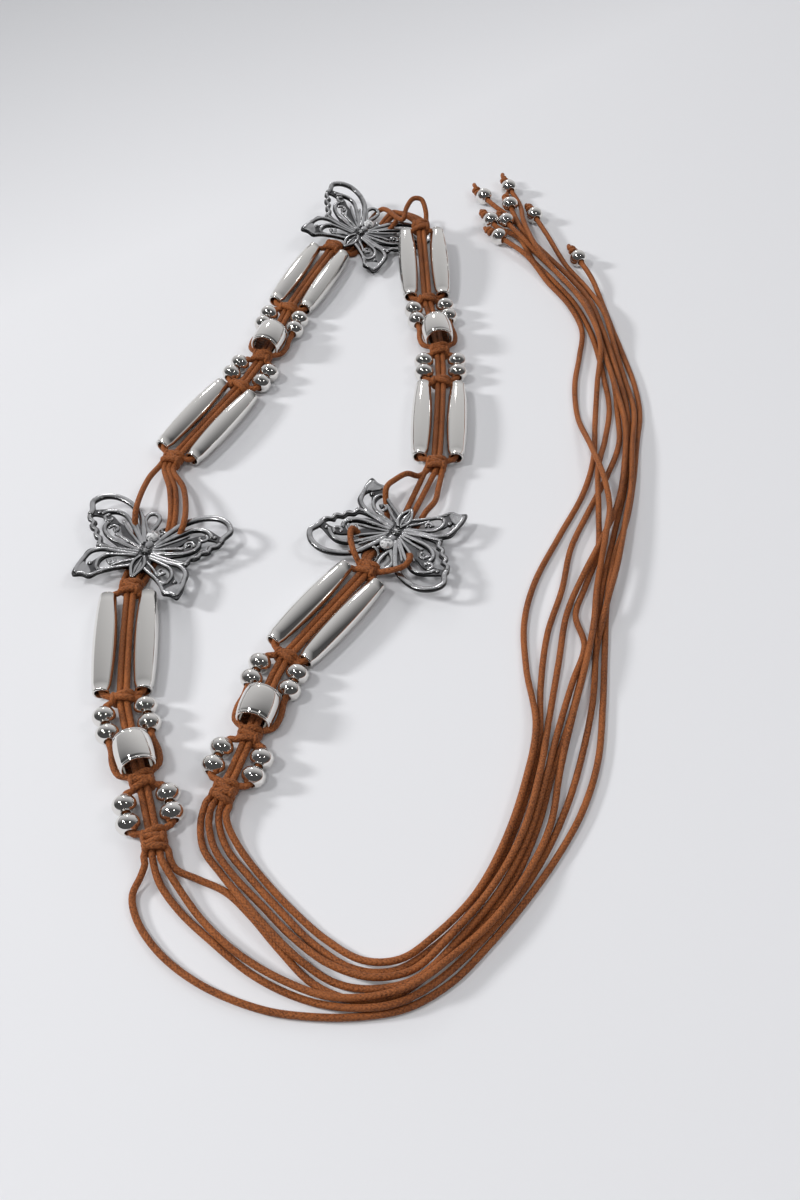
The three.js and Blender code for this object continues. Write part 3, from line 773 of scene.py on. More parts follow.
class Body:
    """A piece being built in plan millimetres, from tubes, plates, stones and balls."""

    FLATTENED = (0.55, 0.7)
    SMALL = 1e-6
    ROD_START = 0.3
    ROD_TIP = 0.04
    SOFT_EDGE = 0.3
    STEEP = 0.9

    def __init__(self) -> None:
        """Starts an empty piece with a UV layer."""
        self.mesh = bmesh.new()
        self.uv = self.mesh.loops.layers.uv.new("UVMap")

    def tube(self, path: Sequence[Vector], radius: float, sides: int = 12, closed: bool = False,
             taper: Callable[[float], float] | None = None, wide: float = 1.0) -> None:
        """Adds a round or flattened tube along a line.

        Args:
            path: The line's points.
            radius: Radius of the tube.
            sides: How many sides it has.
            closed: Whether the last point runs on to the first.
            taper: Share of the radius at a share of the length.
            wide: How many times as wide as high it is.
        """
        count = len(path)
        rings, along, travelled = [], [], 0.0
        normal, before = Vector(), Vector()
        for i, point in enumerate(path):
            back = path[i - 1] if i or closed else point
            ahead = path[(i + 1) % count] if i < count - 1 or closed else point
            heading = (ahead - back).normalized()
            if i:
                normal = before.rotation_difference(heading) @ normal
                travelled += (point - path[i - 1]).length
            else:
                normal = UP if abs(heading.z) < self.STEEP else Vector((1.0, 0.0, 0.0))
            normal = (normal - heading * normal.dot(heading)).normalized()
            side, before = heading.cross(normal), heading
            size = radius * (taper(i / (count - 1)) if taper else 1.0)
            ring = []
            for k in range(sides):
                angle = 2 * math.pi * k / sides
                up, out = math.cos(angle), math.sin(angle)
                if wide != 1.0:
                    up, out = eased(up, self.FLATTENED[0]), eased(out, self.FLATTENED[1]) * wide
                ring.append(self.mesh.verts.new(point + (normal * up + side * out) * size))
            rings.append(ring)
            along.append(travelled)
        shift = 0
        if closed:
            rings.append(rings[0])
            along.append(travelled + (path[0] - path[-1]).length)
            last, first = rings[-2], rings[0]
            shift = min(range(sides), key=lambda s: sum(
                (last[k].co - first[(k + s) % sides].co).length for k in range(0, sides, 3)))
        for i in range(len(rings) - 1):
            move = shift if closed and i == len(rings) - 2 else 0
            for k in range(sides):
                corners = (rings[i][k], rings[i][(k + 1) % sides],
                           rings[i + 1][(k + 1 + move) % sides], rings[i + 1][(k + move) % sides])
                face = self.mesh.faces.new(corners)
                face.smooth = True
                places = ((k, i), (k + 1, i), (k + 1, i + 1), (k, i + 1))
                for loop, (around, row) in zip(face.loops, places):
                    loop[self.uv].uv = (around / sides, along[row])
        if not closed:
            self.mesh.faces.new(list(reversed(rings[0])))
            self.mesh.faces.new(rings[-1])

    def rod(self, path: Sequence[Vector], radius: float, wide: float = 1.0) -> None:
        """Adds a cast rod with rounded ends along a line.

        Args:
            path: The line's points.
            radius: Radius of the rod.
            wide: How many times as wide as high it is.
        """
        length = max(length_of(path), self.SMALL)

        def taper(share: float) -> float:
            """Share of the radius, which grows from each tip as a ball's does."""
            near = min(share, 1 - share) * length / radius
            return math.sqrt(max(1 - (1 - min(near, 1.0)) ** 2, self.ROD_TIP))

        def inside(tip: Vector, inner: Vector) -> Vector:
            """A point just inside a tip, so that its rounding has a row of its own."""
            apart = max((inner - tip).length, self.SMALL)
            return tip.lerp(inner, min(self.ROD_START * radius / apart, 0.5))

        rows = [path[0], inside(path[0], path[1]), *path[1:-1], inside(path[-1], path[-2]), path[-1]]
        self.tube(rows, radius, 12, taper=taper, wide=wide)

    def ball(self, middle: Vector, size: Vector | float, turn: Matrix | None = None,
             steps: int = 16) -> None:
        """Adds a ball or an ellipsoid.

        Args:
            middle: Its middle.
            size: Radius, or the three half-axes.
            turn: Its turn about its own middle.
            steps: How many segments go round it.
        """
        axes = Vector((size, size, size)) if isinstance(size, (int, float)) else size
        matrix = Matrix.Translation(middle) @ (turn or Matrix.Identity(4)) @ Matrix.Diagonal((*axes, 1.0))
        made = bmesh.ops.create_uvsphere(self.mesh, u_segments=steps, v_segments=max(6, steps // 2),
                                         radius=1.0, matrix=matrix)
        for face in {face for vert in made["verts"] for face in vert.link_faces}:
            face.smooth = True

    def plate(self, outline: Iterable[Vector], thickness: float) -> None:
        """Adds a flat plate with softened edges, from its middle outline.

        Args:
            outline: Its corners, halfway up its thickness.
            thickness: Its thickness.
        """
        verts = [self.mesh.verts.new(point - UP * thickness / 2) for point in outline]
        whole = self.thicken(verts, [self.mesh.faces.new(verts)], thickness)
        edges = {edge for vert in whole for edge in vert.link_edges}
        bmesh.ops.bevel(self.mesh, geom=list(edges), offset=self.SOFT_EDGE * thickness,
                        offset_type="OFFSET", segments=2, profile=0.5, affect="EDGES",
                        clamp_overlap=True, material=-1)

    def thicken(self, verts: Iterable[bmesh.types.BMVert], faces: list[bmesh.types.BMFace],
                thickness: float) -> set[bmesh.types.BMVert]:
        """Makes flat faces a closed slab.

        Args:
            verts: The vertices of the faces.
            faces: The faces, at the slab's underside.
            thickness: How far up the slab reaches.

        Returns:
            All of the slab's vertices.
        """
        moved = bmesh.ops.extrude_face_region(self.mesh, geom=faces)["geom"]
        raised = [item for item in moved if isinstance(item, bmesh.types.BMVert)]
        bmesh.ops.translate(self.mesh, verts=raised, vec=UP * thickness)
        whole = set(verts) | set(raised)
        shell = {face for vert in whole for face in vert.link_faces}
        bmesh.ops.recalc_face_normals(self.mesh, faces=list(shell))
        return whole

    def cone(self, middle: Vector, low: float, high: float, height: float, sides: int) -> None:
        """Adds an upright frustum of flat facets.

        Args:
            middle: Its middle.
            low: Radius of its foot.
            high: Radius of its top.
            height: Its height.
            sides: How many sides it has.
        """
        bmesh.ops.create_cone(self.mesh, cap_ends=True, segments=sides, radius1=low, radius2=high,
                              depth=height, matrix=Matrix.Translation(middle))

    def gem(self, middle: Vector, radius: float, height: float, index: int) -> None:
        """Adds a cut stone of flat facets.

        Args:
            middle: Its middle.
            radius: Its half-width.
            height: Its half-height.
            index: Its material index.
        """
        matrix = Matrix.Translation(middle) @ Matrix.Diagonal((radius, radius, height, 1.0))
        made = bmesh.ops.create_icosphere(self.mesh, subdivisions=2, radius=1.0, matrix=matrix)
        for face in {face for vert in made["verts"] for face in vert.link_faces}:
            face.material_index = index

    def web(self, loops: Sequence[Sequence[Row]], thickness: float, height: Callable[[float], float],
            index: int) -> None:
        """Adds a thin plate with openings.

        Args:
            loops: The plan outline, then each opening.
            thickness: The plate's thickness.
            height: Height of its middle plane at a distance from the body.
            index: Its material index.
        """
        edges, verts = [], []
        for loop in loops:
            ring = [self.mesh.verts.new((x, y, -thickness / 2)) for x, y in loop]
            edges += [self.mesh.edges.new(pair) for pair in zip(ring, ring[1:] + ring[:1])]
            verts += ring
        filled = bmesh.ops.triangle_fill(self.mesh, use_beauty=True, use_dissolve=False, edges=edges)
        faces = [item for item in filled["geom"] if isinstance(item, bmesh.types.BMFace)]
        whole = self.thicken(verts, faces, thickness)
        for face in {face for vert in whole for face in vert.link_faces}:
            face.material_index = index
        for vert in whole:
            vert.co.z += height(vert.co.x)

    def place(self, matrix: Matrix) -> None:
        """Moves everything so far by a matrix."""
        self.mesh.transform(matrix)

    def to_mesh(self, name: str) -> bpy.types.Mesh:
        """Ends the piece as a mesh in plan millimetres.

        Args:
            name: The mesh's name.

        Returns:
            The mesh.
        """
        made = bpy.data.meshes.new(name)
        self.mesh.to_mesh(made)
        self.mesh.free()
        return made


def spun(name: str, profiles: Iterable[Sequence[Row]], steps: int = 48) -> bpy.types.Mesh:
    """Spins closed profiles about the z axis.

    Args:
        name: Name of the mesh.
        profiles: Closed outlines of (radius, height) rows.
        steps: Steps of the spin.

    Returns:
        A smooth closed mesh in millimetres.
    """
    work = bmesh.new()
    for profile in profiles:
        verts = [work.verts.new((radius, 0.0, height)) for radius, height in profile]
        edges = [work.edges.new((a, b)) for a, b in zip(verts, verts[1:] + verts[:1])]
        bmesh.ops.spin(work, geom=verts + edges, cent=(0, 0, 0), axis=(0, 0, 1), dvec=(0, 0, 0),
                       angle=2 * math.pi, steps=steps, use_merge=True, use_duplicate=False)
    bmesh.ops.remove_doubles(work, verts=work.verts[:], dist=1e-4)
    bmesh.ops.recalc_face_normals(work, faces=work.faces[:])
    for face in work.faces:
        face.smooth = True
    made = bpy.data.meshes.new(name)
    work.to_mesh(made)
    work.free()
    return made


def publish(name: str, mesh: bpy.types.Mesh, materials: Sequence[bpy.types.Material],
            node: str | None) -> bpy.types.Object:
    """Puts a finished piece into the scene, riding on the belt.

    Args:
        name: The piece's name.
        mesh: Its mesh, in plan millimetres.
        materials: Its materials.
        node: The CAD node that it stands for, if any.

    Returns:
        The object, at the origin of the shared frame.
    """
    mesh.transform(TO_FRAME)
    for material in materials:
        mesh.materials.append(material)
    made = bpy.data.objects.new(name, mesh)
    bpy.context.scene.collection.objects.link(made)
    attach(made, "root")
    if node:
        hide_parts(node)
    LOG.info("%s: %d faces", name, len(mesh.polygons))
    return made


# Finishes


@dataclass(frozen=True)
class CordFinish:
    """Waxed cotton cord: its colours, how strong its weave is, and the painted shade in the grooves
    between its strands.
    """

    light: Row = (0.34, 0.110, 0.032, 1.0)
    dark: Row = (0.075, 0.020, 0.007, 1.0)
    roughness: float = 0.62
    strands: float = 6.0
    weave_step: float = 1.5
    bump: float = 0.6
    fibre_scale: float = 1600.0
    fibre_height: float = 0.9
    fibre_tone: Row = (1.4, -0.5)
    # How much painted shade darkens the grooves between the strands
    painted_groove_shade: float = 0.3
    patch_scale: float = 70.0
    patch_tone: float = 0.7
    tones: Row = (0.28, 0.95)


@dataclass(frozen=True)
class MetalFinish:
    """A polished metal with its wear, and painted shade on its faces that turn sideways or down."""

    name: str
    bright: Row
    # Colour painted as shade where the metal faces sideways or down
    side_shade_color: Row
    roughness: float
    wear: float
    shade: float


@dataclass(frozen=True)
class WearAndShade:
    """The scuffs and dents that the metals share, and the painted shade on faces that turn sideways or
    down.
    """

    scuff_scale: float = 900.0
    dent_scale: float = 260.0
    dent_share: float = 0.8
    # Upward facing, with dents, at which the painted shade starts and at which it is full
    painted_side_shade: Row = (1.42, 0.82)
    bump: float = 0.06


@dataclass(frozen=True)
class StoneFinish:
    """Cut glass over foil: painted glints on small cells from dark to bright, and its clear coat."""

    facet_scale: float = 1300.0
    dark: Row = (0.2, 0.2, 0.21, 1.0)
    bright: Row = (1.0, 1.0, 1.0, 1.0)
    # Range over which the small cells are painted as glints, from dark to bright
    painted_glint_span: Row = (0.1, 0.5)
    foil: float = 0.4
    roughness: float = 0.04
    coat_roughness: float = 0.02
    ior: float = 1.6


@dataclass(frozen=True)
class TableFinish:
    """The pale surface that the belt lies on, near the camera and far away, where painted shade darkens
    it.
    """

    color: Row = (0.78, 0.783, 0.806, 1.0)
    # Colour of the painted shade far away and to the left
    far: Row = (0.5, 0.505, 0.522, 1.0)
    slope: float = -0.8
    # Distances over which the painted shade fades in
    painted_falloff_span: Row = (0.2, 0.55)
    roughness: float = 0.55
    specular: float = 0.2


NICKEL = MetalFinish("polished_nickel", bright=(0.84, 0.82, 0.79, 1.0), side_shade_color=(0.5, 0.47, 0.43, 1.0),
                     roughness=0.05, wear=0.05, shade=0.0)
SILVER = MetalFinish("antique_silver", bright=(0.6, 0.6, 0.61, 1.0), side_shade_color=(0.03, 0.03, 0.03, 1.0),
                     roughness=0.14, wear=0.16, shade=1.0)
DEEP_SILVER = MetalFinish("deep_silver", bright=(0.15, 0.15, 0.155, 1.0), side_shade_color=(0.01, 0.01, 0.01, 1.0),
                          roughness=0.3, wear=0.16, shade=1.0)


class Graph:
    """A node tree with short calls for making and linking nodes."""

    def __init__(self, tree: bpy.types.NodeTree) -> None:
        """Clears the tree.

        Args:
            tree: The tree to fill.
        """
        self.tree = tree
        tree.nodes.clear()

    def add(self, kind: str, inputs: dict[int | str, object] | None = None,
            **settings: object) -> bpy.types.Node:
        """Makes a node.

        Args:
            kind: Its type.
            inputs: A value or an output socket for each named or numbered input.
            settings: Its own attributes.

        Returns:
            The node.
        """
        made = self.tree.nodes.new(kind)
        for name, value in settings.items():
            setattr(made, name, value)
        for key, value in (inputs or {}).items():
            if isinstance(value, bpy.types.NodeSocket):
                self.tree.links.new(value, made.inputs[key])
            else:
                made.inputs[key].default_value = value
        return made

    def math(self, operation: str, *values: object) -> bpy.types.NodeSocket:
        """Makes a math node and returns its output."""
        return self.add("ShaderNodeMath", dict(enumerate(values)), operation=operation).outputs[0]

    def mix(self, share: object, one: object, other: object) -> bpy.types.NodeSocket:
        """Mixes two colours and returns the output."""
        node = self.add("ShaderNodeMix", {0: share, 6: one, 7: other}, data_type="RGBA")
        return node.outputs[2]

    def noise(self, place: object, scale: float, detail: float) -> bpy.types.NodeSocket:
        """Makes a noise texture and returns its value."""
        inputs = {"Vector": place, "Scale": scale, "Detail": detail}
        return self.add("ShaderNodeTexNoise", inputs).outputs["Fac"]

    def remap(self, value: object, low: float, high: float) -> bpy.types.NodeSocket:
        """Stretches the values from low to high over 0 to 1 and returns the output."""
        inputs = {"Value": value, "From Min": low, "From Max": high}
        return self.add("ShaderNodeMapRange", inputs).outputs[0]

    def axis(self, vector: object, index: int) -> bpy.types.NodeSocket:
        """Returns one axis of a vector: 0 for x, 1 for y, 2 for z."""
        return self.add("ShaderNodeSeparateXYZ", {0: vector}).outputs[index]


class Palette:
    """The materials, built on two shared node groups."""

    def __init__(self) -> None:
        """Makes every material once."""
        self.weave_group = self.make_weave_group(CordFinish())
        self.wear_and_shade_group = self.make_wear_and_shade_group(WearAndShade())
        self.cord = self.make_cord(CordFinish())
        self.nickel = self.make_metal(NICKEL)
        self.silver = self.make_metal(SILVER)
        self.deep_silver = self.make_metal(DEEP_SILVER)
        self.crystal = self.make_crystal(StoneFinish())
        self.table = self.make_table(TableFinish())

    @staticmethod
    def new(name: str) -> tuple[bpy.types.Material, Graph]:
        """An empty node material and its graph.

        Args:
            name: The material's name.

        Returns:
            The material and its graph.
        """
        material = bpy.data.materials.new(name)
        material.use_nodes = True
        return material, Graph(material.node_tree)

    @staticmethod
    def close(graph: Graph, shader: bpy.types.Node) -> None:
        """Links a shader to a new material output."""
        graph.add("ShaderNodeOutputMaterial", {"Surface": shader.outputs[0]})

    @staticmethod
    def make_weave_group(finish: CordFinish) -> bpy.types.NodeTree:
        """Braided strands round a cord, with painted shade in the grooves between them, from its own UV:
        round it in u, millimetres along it in v.

        Args:
            finish: The cord's finish.

        Returns:
            The node group, with a colour and a normal.
        """
        tree = bpy.data.node_groups.new("cord_weave", "ShaderNodeTree")
        tree.interface.new_socket("Color", in_out="OUTPUT", socket_type="NodeSocketColor")
        tree.interface.new_socket("Normal", in_out="OUTPUT", socket_type="NodeSocketVector")
        graph = Graph(tree)
        place = graph.add("ShaderNodeTexCoord")
        split = graph.add("ShaderNodeSeparateXYZ", {0: place.outputs["UV"]})
        around = graph.math("MULTIPLY", split.outputs[0], finish.strands)
        along = graph.math("DIVIDE", split.outputs[1], finish.weave_step)
        one = graph.math("ADD", around, along)
        other = graph.math("SUBTRACT", around, along)
        ridges = [graph.math("ABSOLUTE", graph.math("SINE", graph.math("MULTIPLY", turn, math.pi)))
                  for turn in (one, other)]
        halves = [graph.math("FLOOR", turn) for turn in (one, other)]
        parity = graph.math("PINGPONG", graph.math("ADD", *halves), 1.0)
        strand = graph.add("ShaderNodeMix", {0: parity, 2: ridges[0], 3: ridges[1]}, data_type="FLOAT")
        fibres = graph.noise(place.outputs["Object"], finish.fibre_scale, 2.0)
        patches = graph.noise(place.outputs["Object"], finish.patch_scale, 4.0)
        height = graph.math("ADD", strand.outputs[0], graph.math("MULTIPLY", fibres, finish.fibre_height))
        grain = graph.math("MULTIPLY_ADD", fibres, *finish.fibre_tone)
        # Painted shade: the middles of the strands are lighter and the grooves between them darker; the
        # fibres and patches vary the tone at random.
        tone = graph.math("ADD", graph.math("MULTIPLY_ADD", strand.outputs[0], finish.painted_groove_shade, grain),
                          graph.math("MULTIPLY", patches, finish.patch_tone))
        color = graph.mix(graph.remap(tone, *finish.tones), finish.dark, finish.light)
        bump = graph.add("ShaderNodeBump", {"Strength": finish.bump, "Distance": 0.0002, "Height": height})
        graph.add("NodeGroupOutput", {0: color, 1: bump.outputs[0]})
        return tree

    @staticmethod
    def make_wear_and_shade_group(wear: WearAndShade) -> bpy.types.NodeTree:
        """Wear of a metal: fine scuffs and dents, and painted shade where it faces sideways or down.

        Args:
            wear: How coarse and strong it is.

        Returns:
            The node group, with scuffs, the painted shade and a normal.
        """
        tree = bpy.data.node_groups.new("metal_wear_and_shade", "ShaderNodeTree")
        for name in ("Scuffs", "PaintedSideShade"):
            tree.interface.new_socket(name, in_out="OUTPUT", socket_type="NodeSocketFloat")
        tree.interface.new_socket("Normal", in_out="OUTPUT", socket_type="NodeSocketVector")
        graph = Graph(tree)
        place = graph.add("ShaderNodeTexCoord")
        scuffs = graph.noise(place.outputs["Object"], wear.scuff_scale, 5.0)
        dents = graph.noise(place.outputs["Object"], wear.dent_scale, 2.0)
        # Painted shade: faces that turn sideways or down get the dark colour, broken up at random by the
        # dents.
        facing = graph.axis(place.outputs["Normal"], 2)
        lift = graph.math("ADD", facing, graph.math("MULTIPLY", dents, wear.dent_share))
        painted_side_shade = graph.remap(lift, *wear.painted_side_shade)
        bump = graph.add("ShaderNodeBump", {"Strength": wear.bump, "Distance": 0.0003, "Height": dents})
        graph.add("NodeGroupOutput", {0: scuffs, 1: painted_side_shade, 2: bump.outputs[0]})
        return tree

    def make_cord(self, finish: CordFinish) -> bpy.types.Material:
        """The waxed cord.

        Args:
            finish: Its colours and weave.

        Returns:
            The material.
        """
        material, graph = self.new("waxed_cord")
        weave = graph.add("ShaderNodeGroup", node_tree=self.weave_group)
        shader = graph.add("ShaderNodeBsdfPrincipled", {
            "Base Color": weave.outputs["Color"], "Roughness": finish.roughness,
            "Normal": weave.outputs["Normal"], "Specular IOR Level": 0.35,
            "Sheen Weight": 0.08, "Sheen Roughness": 0.4, "Sheen Tint": (0.9, 0.55, 0.35, 1.0),
        })
        self.close(graph, shader)
        return material

    def make_metal(self, finish: MetalFinish) -> bpy.types.Material:
        """A polished or antiqued metal.

        Args:
            finish: Its colours, wear and shade.

        Returns:
            The material.
        """
        material, graph = self.new(finish.name)
        wear = graph.add("ShaderNodeGroup", node_tree=self.wear_and_shade_group)
        # Painted shade: the dark colour goes where the metal faces sideways or down, as strongly as the
        # finish's shade asks.
        shade = graph.math("MULTIPLY", wear.outputs["PaintedSideShade"], finish.shade)
        rough = graph.math("MULTIPLY_ADD", wear.outputs["Scuffs"], finish.wear, finish.roughness)
        inputs = {"Base Color": graph.mix(shade, finish.bright, finish.side_shade_color), "Metallic": 1.0,
                  "Roughness": rough}
        if finish.shade:
            inputs["Normal"] = wear.outputs["Normal"]
        self.close(graph, graph.add("ShaderNodeBsdfPrincipled", inputs))
        return material

    def make_crystal(self, finish: StoneFinish) -> bpy.types.Material:
        """Clear cut glass with a bright foil behind it, and painted glints.

        Args:
            finish: Its facets and coat.

        Returns:
            The material.
        """
        material, graph = self.new("cut_crystal")
        place = graph.add("ShaderNodeTexCoord").outputs["Object"]
        # Painted glints: each small cell is painted from dark to bright, and the same cells tilt the
        # surface.
        cells = graph.add("ShaderNodeTexVoronoi", {"Vector": place, "Scale": finish.facet_scale})
        spark = graph.axis(cells.outputs["Color"], 0)
        color = graph.mix(graph.remap(spark, *finish.painted_glint_span), finish.dark, finish.bright)
        tilt = graph.add("ShaderNodeBump", {"Strength": 1.0, "Distance": 0.0006, "Height": spark})
        self.close(graph, graph.add("ShaderNodeBsdfPrincipled", {
            "Base Color": color, "Metallic": finish.foil, "Roughness": finish.roughness,
            "IOR": finish.ior, "Coat Weight": 1.0, "Coat Roughness": finish.coat_roughness,
            "Normal": tilt.outputs[0]}))
        return material

    def make_table(self, finish: TableFinish) -> bpy.types.Material:
        """The pale table, with painted shade that makes it darker far away to the left as in the
        photograph.

        Args:
            finish: Its colours.

        Returns:
            The material.
        """
        material, graph = self.new("pale_table")
        place = graph.add("ShaderNodeTexCoord").outputs["Object"]
        # Painted shade: the table darkens far away and to the left.
        away = graph.math("MULTIPLY_ADD", graph.axis(place, 0), finish.slope, graph.axis(place, 1))
        color = graph.mix(graph.remap(away, *finish.painted_falloff_span), finish.color, finish.far)
        self.close(graph, graph.add("ShaderNodeBsdfPrincipled", {
            "Base Color": color, "Roughness": finish.roughness,
            "Specular IOR Level": finish.specular}))
        return material


# Sub-assemblies


@dataclass(frozen=True)
class EndKnot:
    """The small overhand knot at the end of a free cord: a helix round a core, and a cut end."""

    turns: float = 1.6
    steps: int = 24
    start: float = -1.9
    length: float = 3.4
    reach: float = 1.3
    narrowing: float = 0.35
    inside: float = 2.0
    radius: float = 1.0
    core: Row = (1.5, 1.5, 1.9)
    stub: tuple[Row, ...] = ((1.3, 0.3, 0.0), (2.6, 0.9, -0.3))

    def line(self, tip: Vector, along: Vector, first_angle: float) -> list[Vector]:
        """The cord's line through the knot.

        Args:
            tip: Middle of the knot.
            along: The direction in which the cord arrives.
            first_angle: Where the helix starts, in radians.

        Returns:
            A smooth line from inside the cord over the helix to the cut end.
        """
        across = along.cross(UP).normalized()
        lift = across.cross(along)
        points = []
        for step in range(self.steps + 1):
            share = step / self.steps
            angle = first_angle + 2 * math.pi * self.turns * share
            reach = self.reach - self.narrowing * share
            points.append(tip + along * (self.length * share + self.start)
                          + (across * math.cos(angle) + lift * math.sin(angle)) * reach)
        stub = [points[-1] + along * a + across * b + lift * c for a, b, c in self.stub]
        return smooth([tip - along * self.inside, *points, *stub], 0.8)


@dataclass(frozen=True)
class Cords:
    """The free cords with their end knots, and the knotted cord work of the arms."""

    layout: Layout
    palette: Palette
    end_knot: EndKnot = EndKnot()
    tail_inset: float = 2.4
    tail_gather: float = 0.6
    wrap_ease: Row = (0.15, 0.1)
    wrap_shape: Row = (0.72, 0.8, 0.5)
    wrap_swell: float = 0.12
    wrap_steps: int = 28
    slant: float = 0.75
    lone_slant: float = 0.45
    hump_inset: float = 0.15
    hump_radius: float = 0.95
    leave: Row = (0.3, 0.5)
    mouth: Row = (0.5, 1.3)
    settled: float = 1.5
    barrel_mouth: float = 0.7
    rim_rows: Row = (1.4, 1.2, 0.3)
    core_spread: float = 1.14
    core_rise: float = 0.15
    over_gap: float = 1.9
    high_gap: float = 7.0
    bow_place: float = 0.42
    bow_rise: float = 0.8

    # Points of a loop over a knot's side, as (along, height)
    HUMP = ((-1.5, 0.2), (-1.15, 1.5), (0, 2.15), (1.15, 1.5), (1.5, 0.2))
    # How far each cord between a head and its knot bows out to the left
    HEAD_BOWS = (-1.8, 1.5, 2.2, 2.6)
    # Points of the high arch over the top knot, as (beyond the knot, to the right, height)
    ARCH = ((2, 11, 5.5), (7, 9, 8), (11.5, 5.4, 9.4), (11, 1.8, 9.2), (6, 0, 6.5))

    def dress(self, name: str, body: Body, node: str | None) -> bpy.types.Object:
        """Publishes a finished piece of cord."""
        return publish(name, body.to_mesh(name), [self.palette.cord], node)

    def build_tail(self, name: str, bead: bpy.types.Object) -> bpy.types.Object:
        """One free cord with its small knot.

        Args:
            name: The cord's name, such as left_1.
            bead: Its end bead; not used.

        Returns:
            The cord.
        """
        last = self.layout.arms[TAILS[name].arm].pieces[-1]
        left = self.tail_gather * (TAILS[name].place - MIDDLE_PLACE) * CORD.pitch
        path = smooth([last.point(last.half - self.tail_inset, left), *self.layout.tails[name]], 1.5)
        body = Body()
        body.tube(path, CORD.radius, 12)
        cord = self.dress(f"tail_{name}", body, f"tail_cord_{name}")
        knot = self.build_end_knot(name, path)
        return cord

    def build_end_knot(self, name: str, path: Sequence[Vector]) -> bpy.types.Object:
        """The small knot at the end of a free cord, turned differently for each name.

        Args:
            name: The cord's name.
            path: The cord's line.

        Returns:
            The knot.
        """
        along = (path[-1] - path[-3]).normalized()
        body = Body()
        body.tube(self.end_knot.line(path[-1], along, sum(map(ord, name))), self.end_knot.radius, 10)
        body.ball(path[-1], Vector(self.end_knot.core), turned(along), 12)
        return self.dress(f"end_knot_{name}", body, None)

    def build_section(self, arm: Arm, section: Section) -> bpy.types.Object:
        """The cord work of one section of an arm: knots, side cords, core cords and links.

        Args:
            arm: The arm.
            section: Its section.

        Returns:
            The cord work, as one piece.
        """
        body = Body()
        pieces = arm.pieces_of(section)
        knots = [index for index, piece in enumerate(pieces) if piece.kind.is_knot]
        for index in knots:
            self.add_knot(body, pieces[index])
        for first, last in zip(knots, knots[1:]):
            self.add_run(body, pieces[first], pieces[first + 1:last], pieces[last])
        for link in LINKS:
            if link.arm == arm.name and link.section is section:
                self.add_link(body, link, pieces[knots[0] if link.first else knots[-1]])
        name = f"{arm.name}_{section.value}"
        return self.dress(f"knotwork_{name}", body, f"cord_work_{name}")

    def add_knot(self, body: Body, piece: Piece) -> None:
        """Square knots as slanting wraps round the core, with the loop that each lays over one side.

        Args:
            body: The cord work.
            piece: The knot's place.
        """
        turns = max(1, math.ceil(piece.half / CORD.radius))
        step = 2 * piece.half / turns
        wide = CORD.knot_half_width - CORD.radius + self.wrap_ease[0]
        high = CORD.knot_half_height - CORD.radius + self.wrap_ease[1]
        across, upright, lean = self.wrap_shape
        for turn in range(turns):
            station = -piece.half + (turn + 0.5) * step
            slant = self.slant if turn % 2 else -self.slant
            if turns == 1:
                slant = self.lone_slant
            ring = []
            for k in range(self.wrap_steps):
                angle = 2 * math.pi * k / self.wrap_steps
                x, z = eased(math.cos(angle), across) * wide, eased(math.sin(angle), upright) * high
                shift = slant * eased(math.sin(angle), lean) * x / wide
                ring.append(piece.point(station + shift, x, CORD.middle_height + z))
            body.tube(ring, CORD.radius + self.wrap_swell, 12, closed=True)
        for turn in range(turns - 1):
            left = (1 if turn % 2 else -1) * (wide - self.hump_inset)
            station = -piece.half + (turn + 1) * step
            hump = [piece.point(station + a, left, CORD.middle_height + h) for a, h in self.HUMP]
            body.tube(smooth(hump, 0.7), self.hump_radius, 10)

    def side_rows(self, piece: Piece) -> tuple[Row, ...]:
        """Where a side cord runs at a piece: through a side bead, or in a bow past a barrel.

        Args:
            piece: The piece.

        Returns:
            Rows of (along, distance from the arm's middle).
        """
        if piece.kind is Kind.BARREL:
            start, end, narrower = self.rim_rows
            return ((start - piece.half, CORD.rim_spread), (0, CORD.bow_spread),
                    (piece.half - end, CORD.rim_spread - narrower))
        spread = CORD.tube_spread if piece.kind is Kind.TUBES else CORD.bead_spread
        out, narrower = self.mouth
        last = (piece.half + out, spread - narrower)
        if piece.before_barrel:
            last = (piece.half + self.barrel_mouth, spread)
        return ((-piece.half - out, spread - narrower), (-piece.half + self.settled, spread), (0, spread),
                (piece.half - self.settled, spread), last)

    def add_run(self, body: Body, first: Piece, between: Sequence[Piece], last: Piece) -> None:
        """The two side cords through the beads and the two core cords between two knots.

        Args:
            body: The cord work.
            first: The knot that the cords leave.
            between: The beads on the way.
            last: The knot that they enter.
        """
        inset = CORD.knot_half_width - CORD.knot_inset
        depth, wider = self.leave
        for side in (1, -1):
            points = [first.point(0, side * inset),
                      first.point(first.half - depth, side * (inset + wider))]
            for piece in between:
                points += [piece.point(a, side * spread) for a, spread in self.side_rows(piece)]
            points += [last.point(depth - last.half, side * (inset + wider)), last.point(0, side * inset)]
            body.tube(smooth(points), CORD.radius, 12)
            left, height = side * self.core_spread, CORD.middle_height + self.core_rise * side
            core = [first.point(0, left), *(piece.point(0, left, height) for piece in between),
                    last.point(0, left)]
            body.tube(smooth(core), CORD.radius, 12)

    def strand(self, link: Link, rows: Iterable[tuple[float, float, Level]]) -> list[Vector]:
        """One cord of a link as it lies at its butterfly.

        Args:
            link: The link.
            rows: Places in the butterfly's own frame, with their levels.

        Returns:
            The points on the plan.
        """
        made = []
        for x, y, level in rows:
            over = BUTTERFLY.height(x) + BUTTERFLY.thickness / 2 + self.over_gap
            local = {Level.UNDER: CORD.table_height, Level.RING: BUTTERFLY.middle,
                     Level.OVER: over, Level.HIGH: BUTTERFLY.middle + self.high_gap}[level]
            point = self.layout.frames[link.butterfly] @ Vector((x, y, local))
            if level is Level.UNDER:
                point.z = CORD.table_height
            made.append(point)
        return made

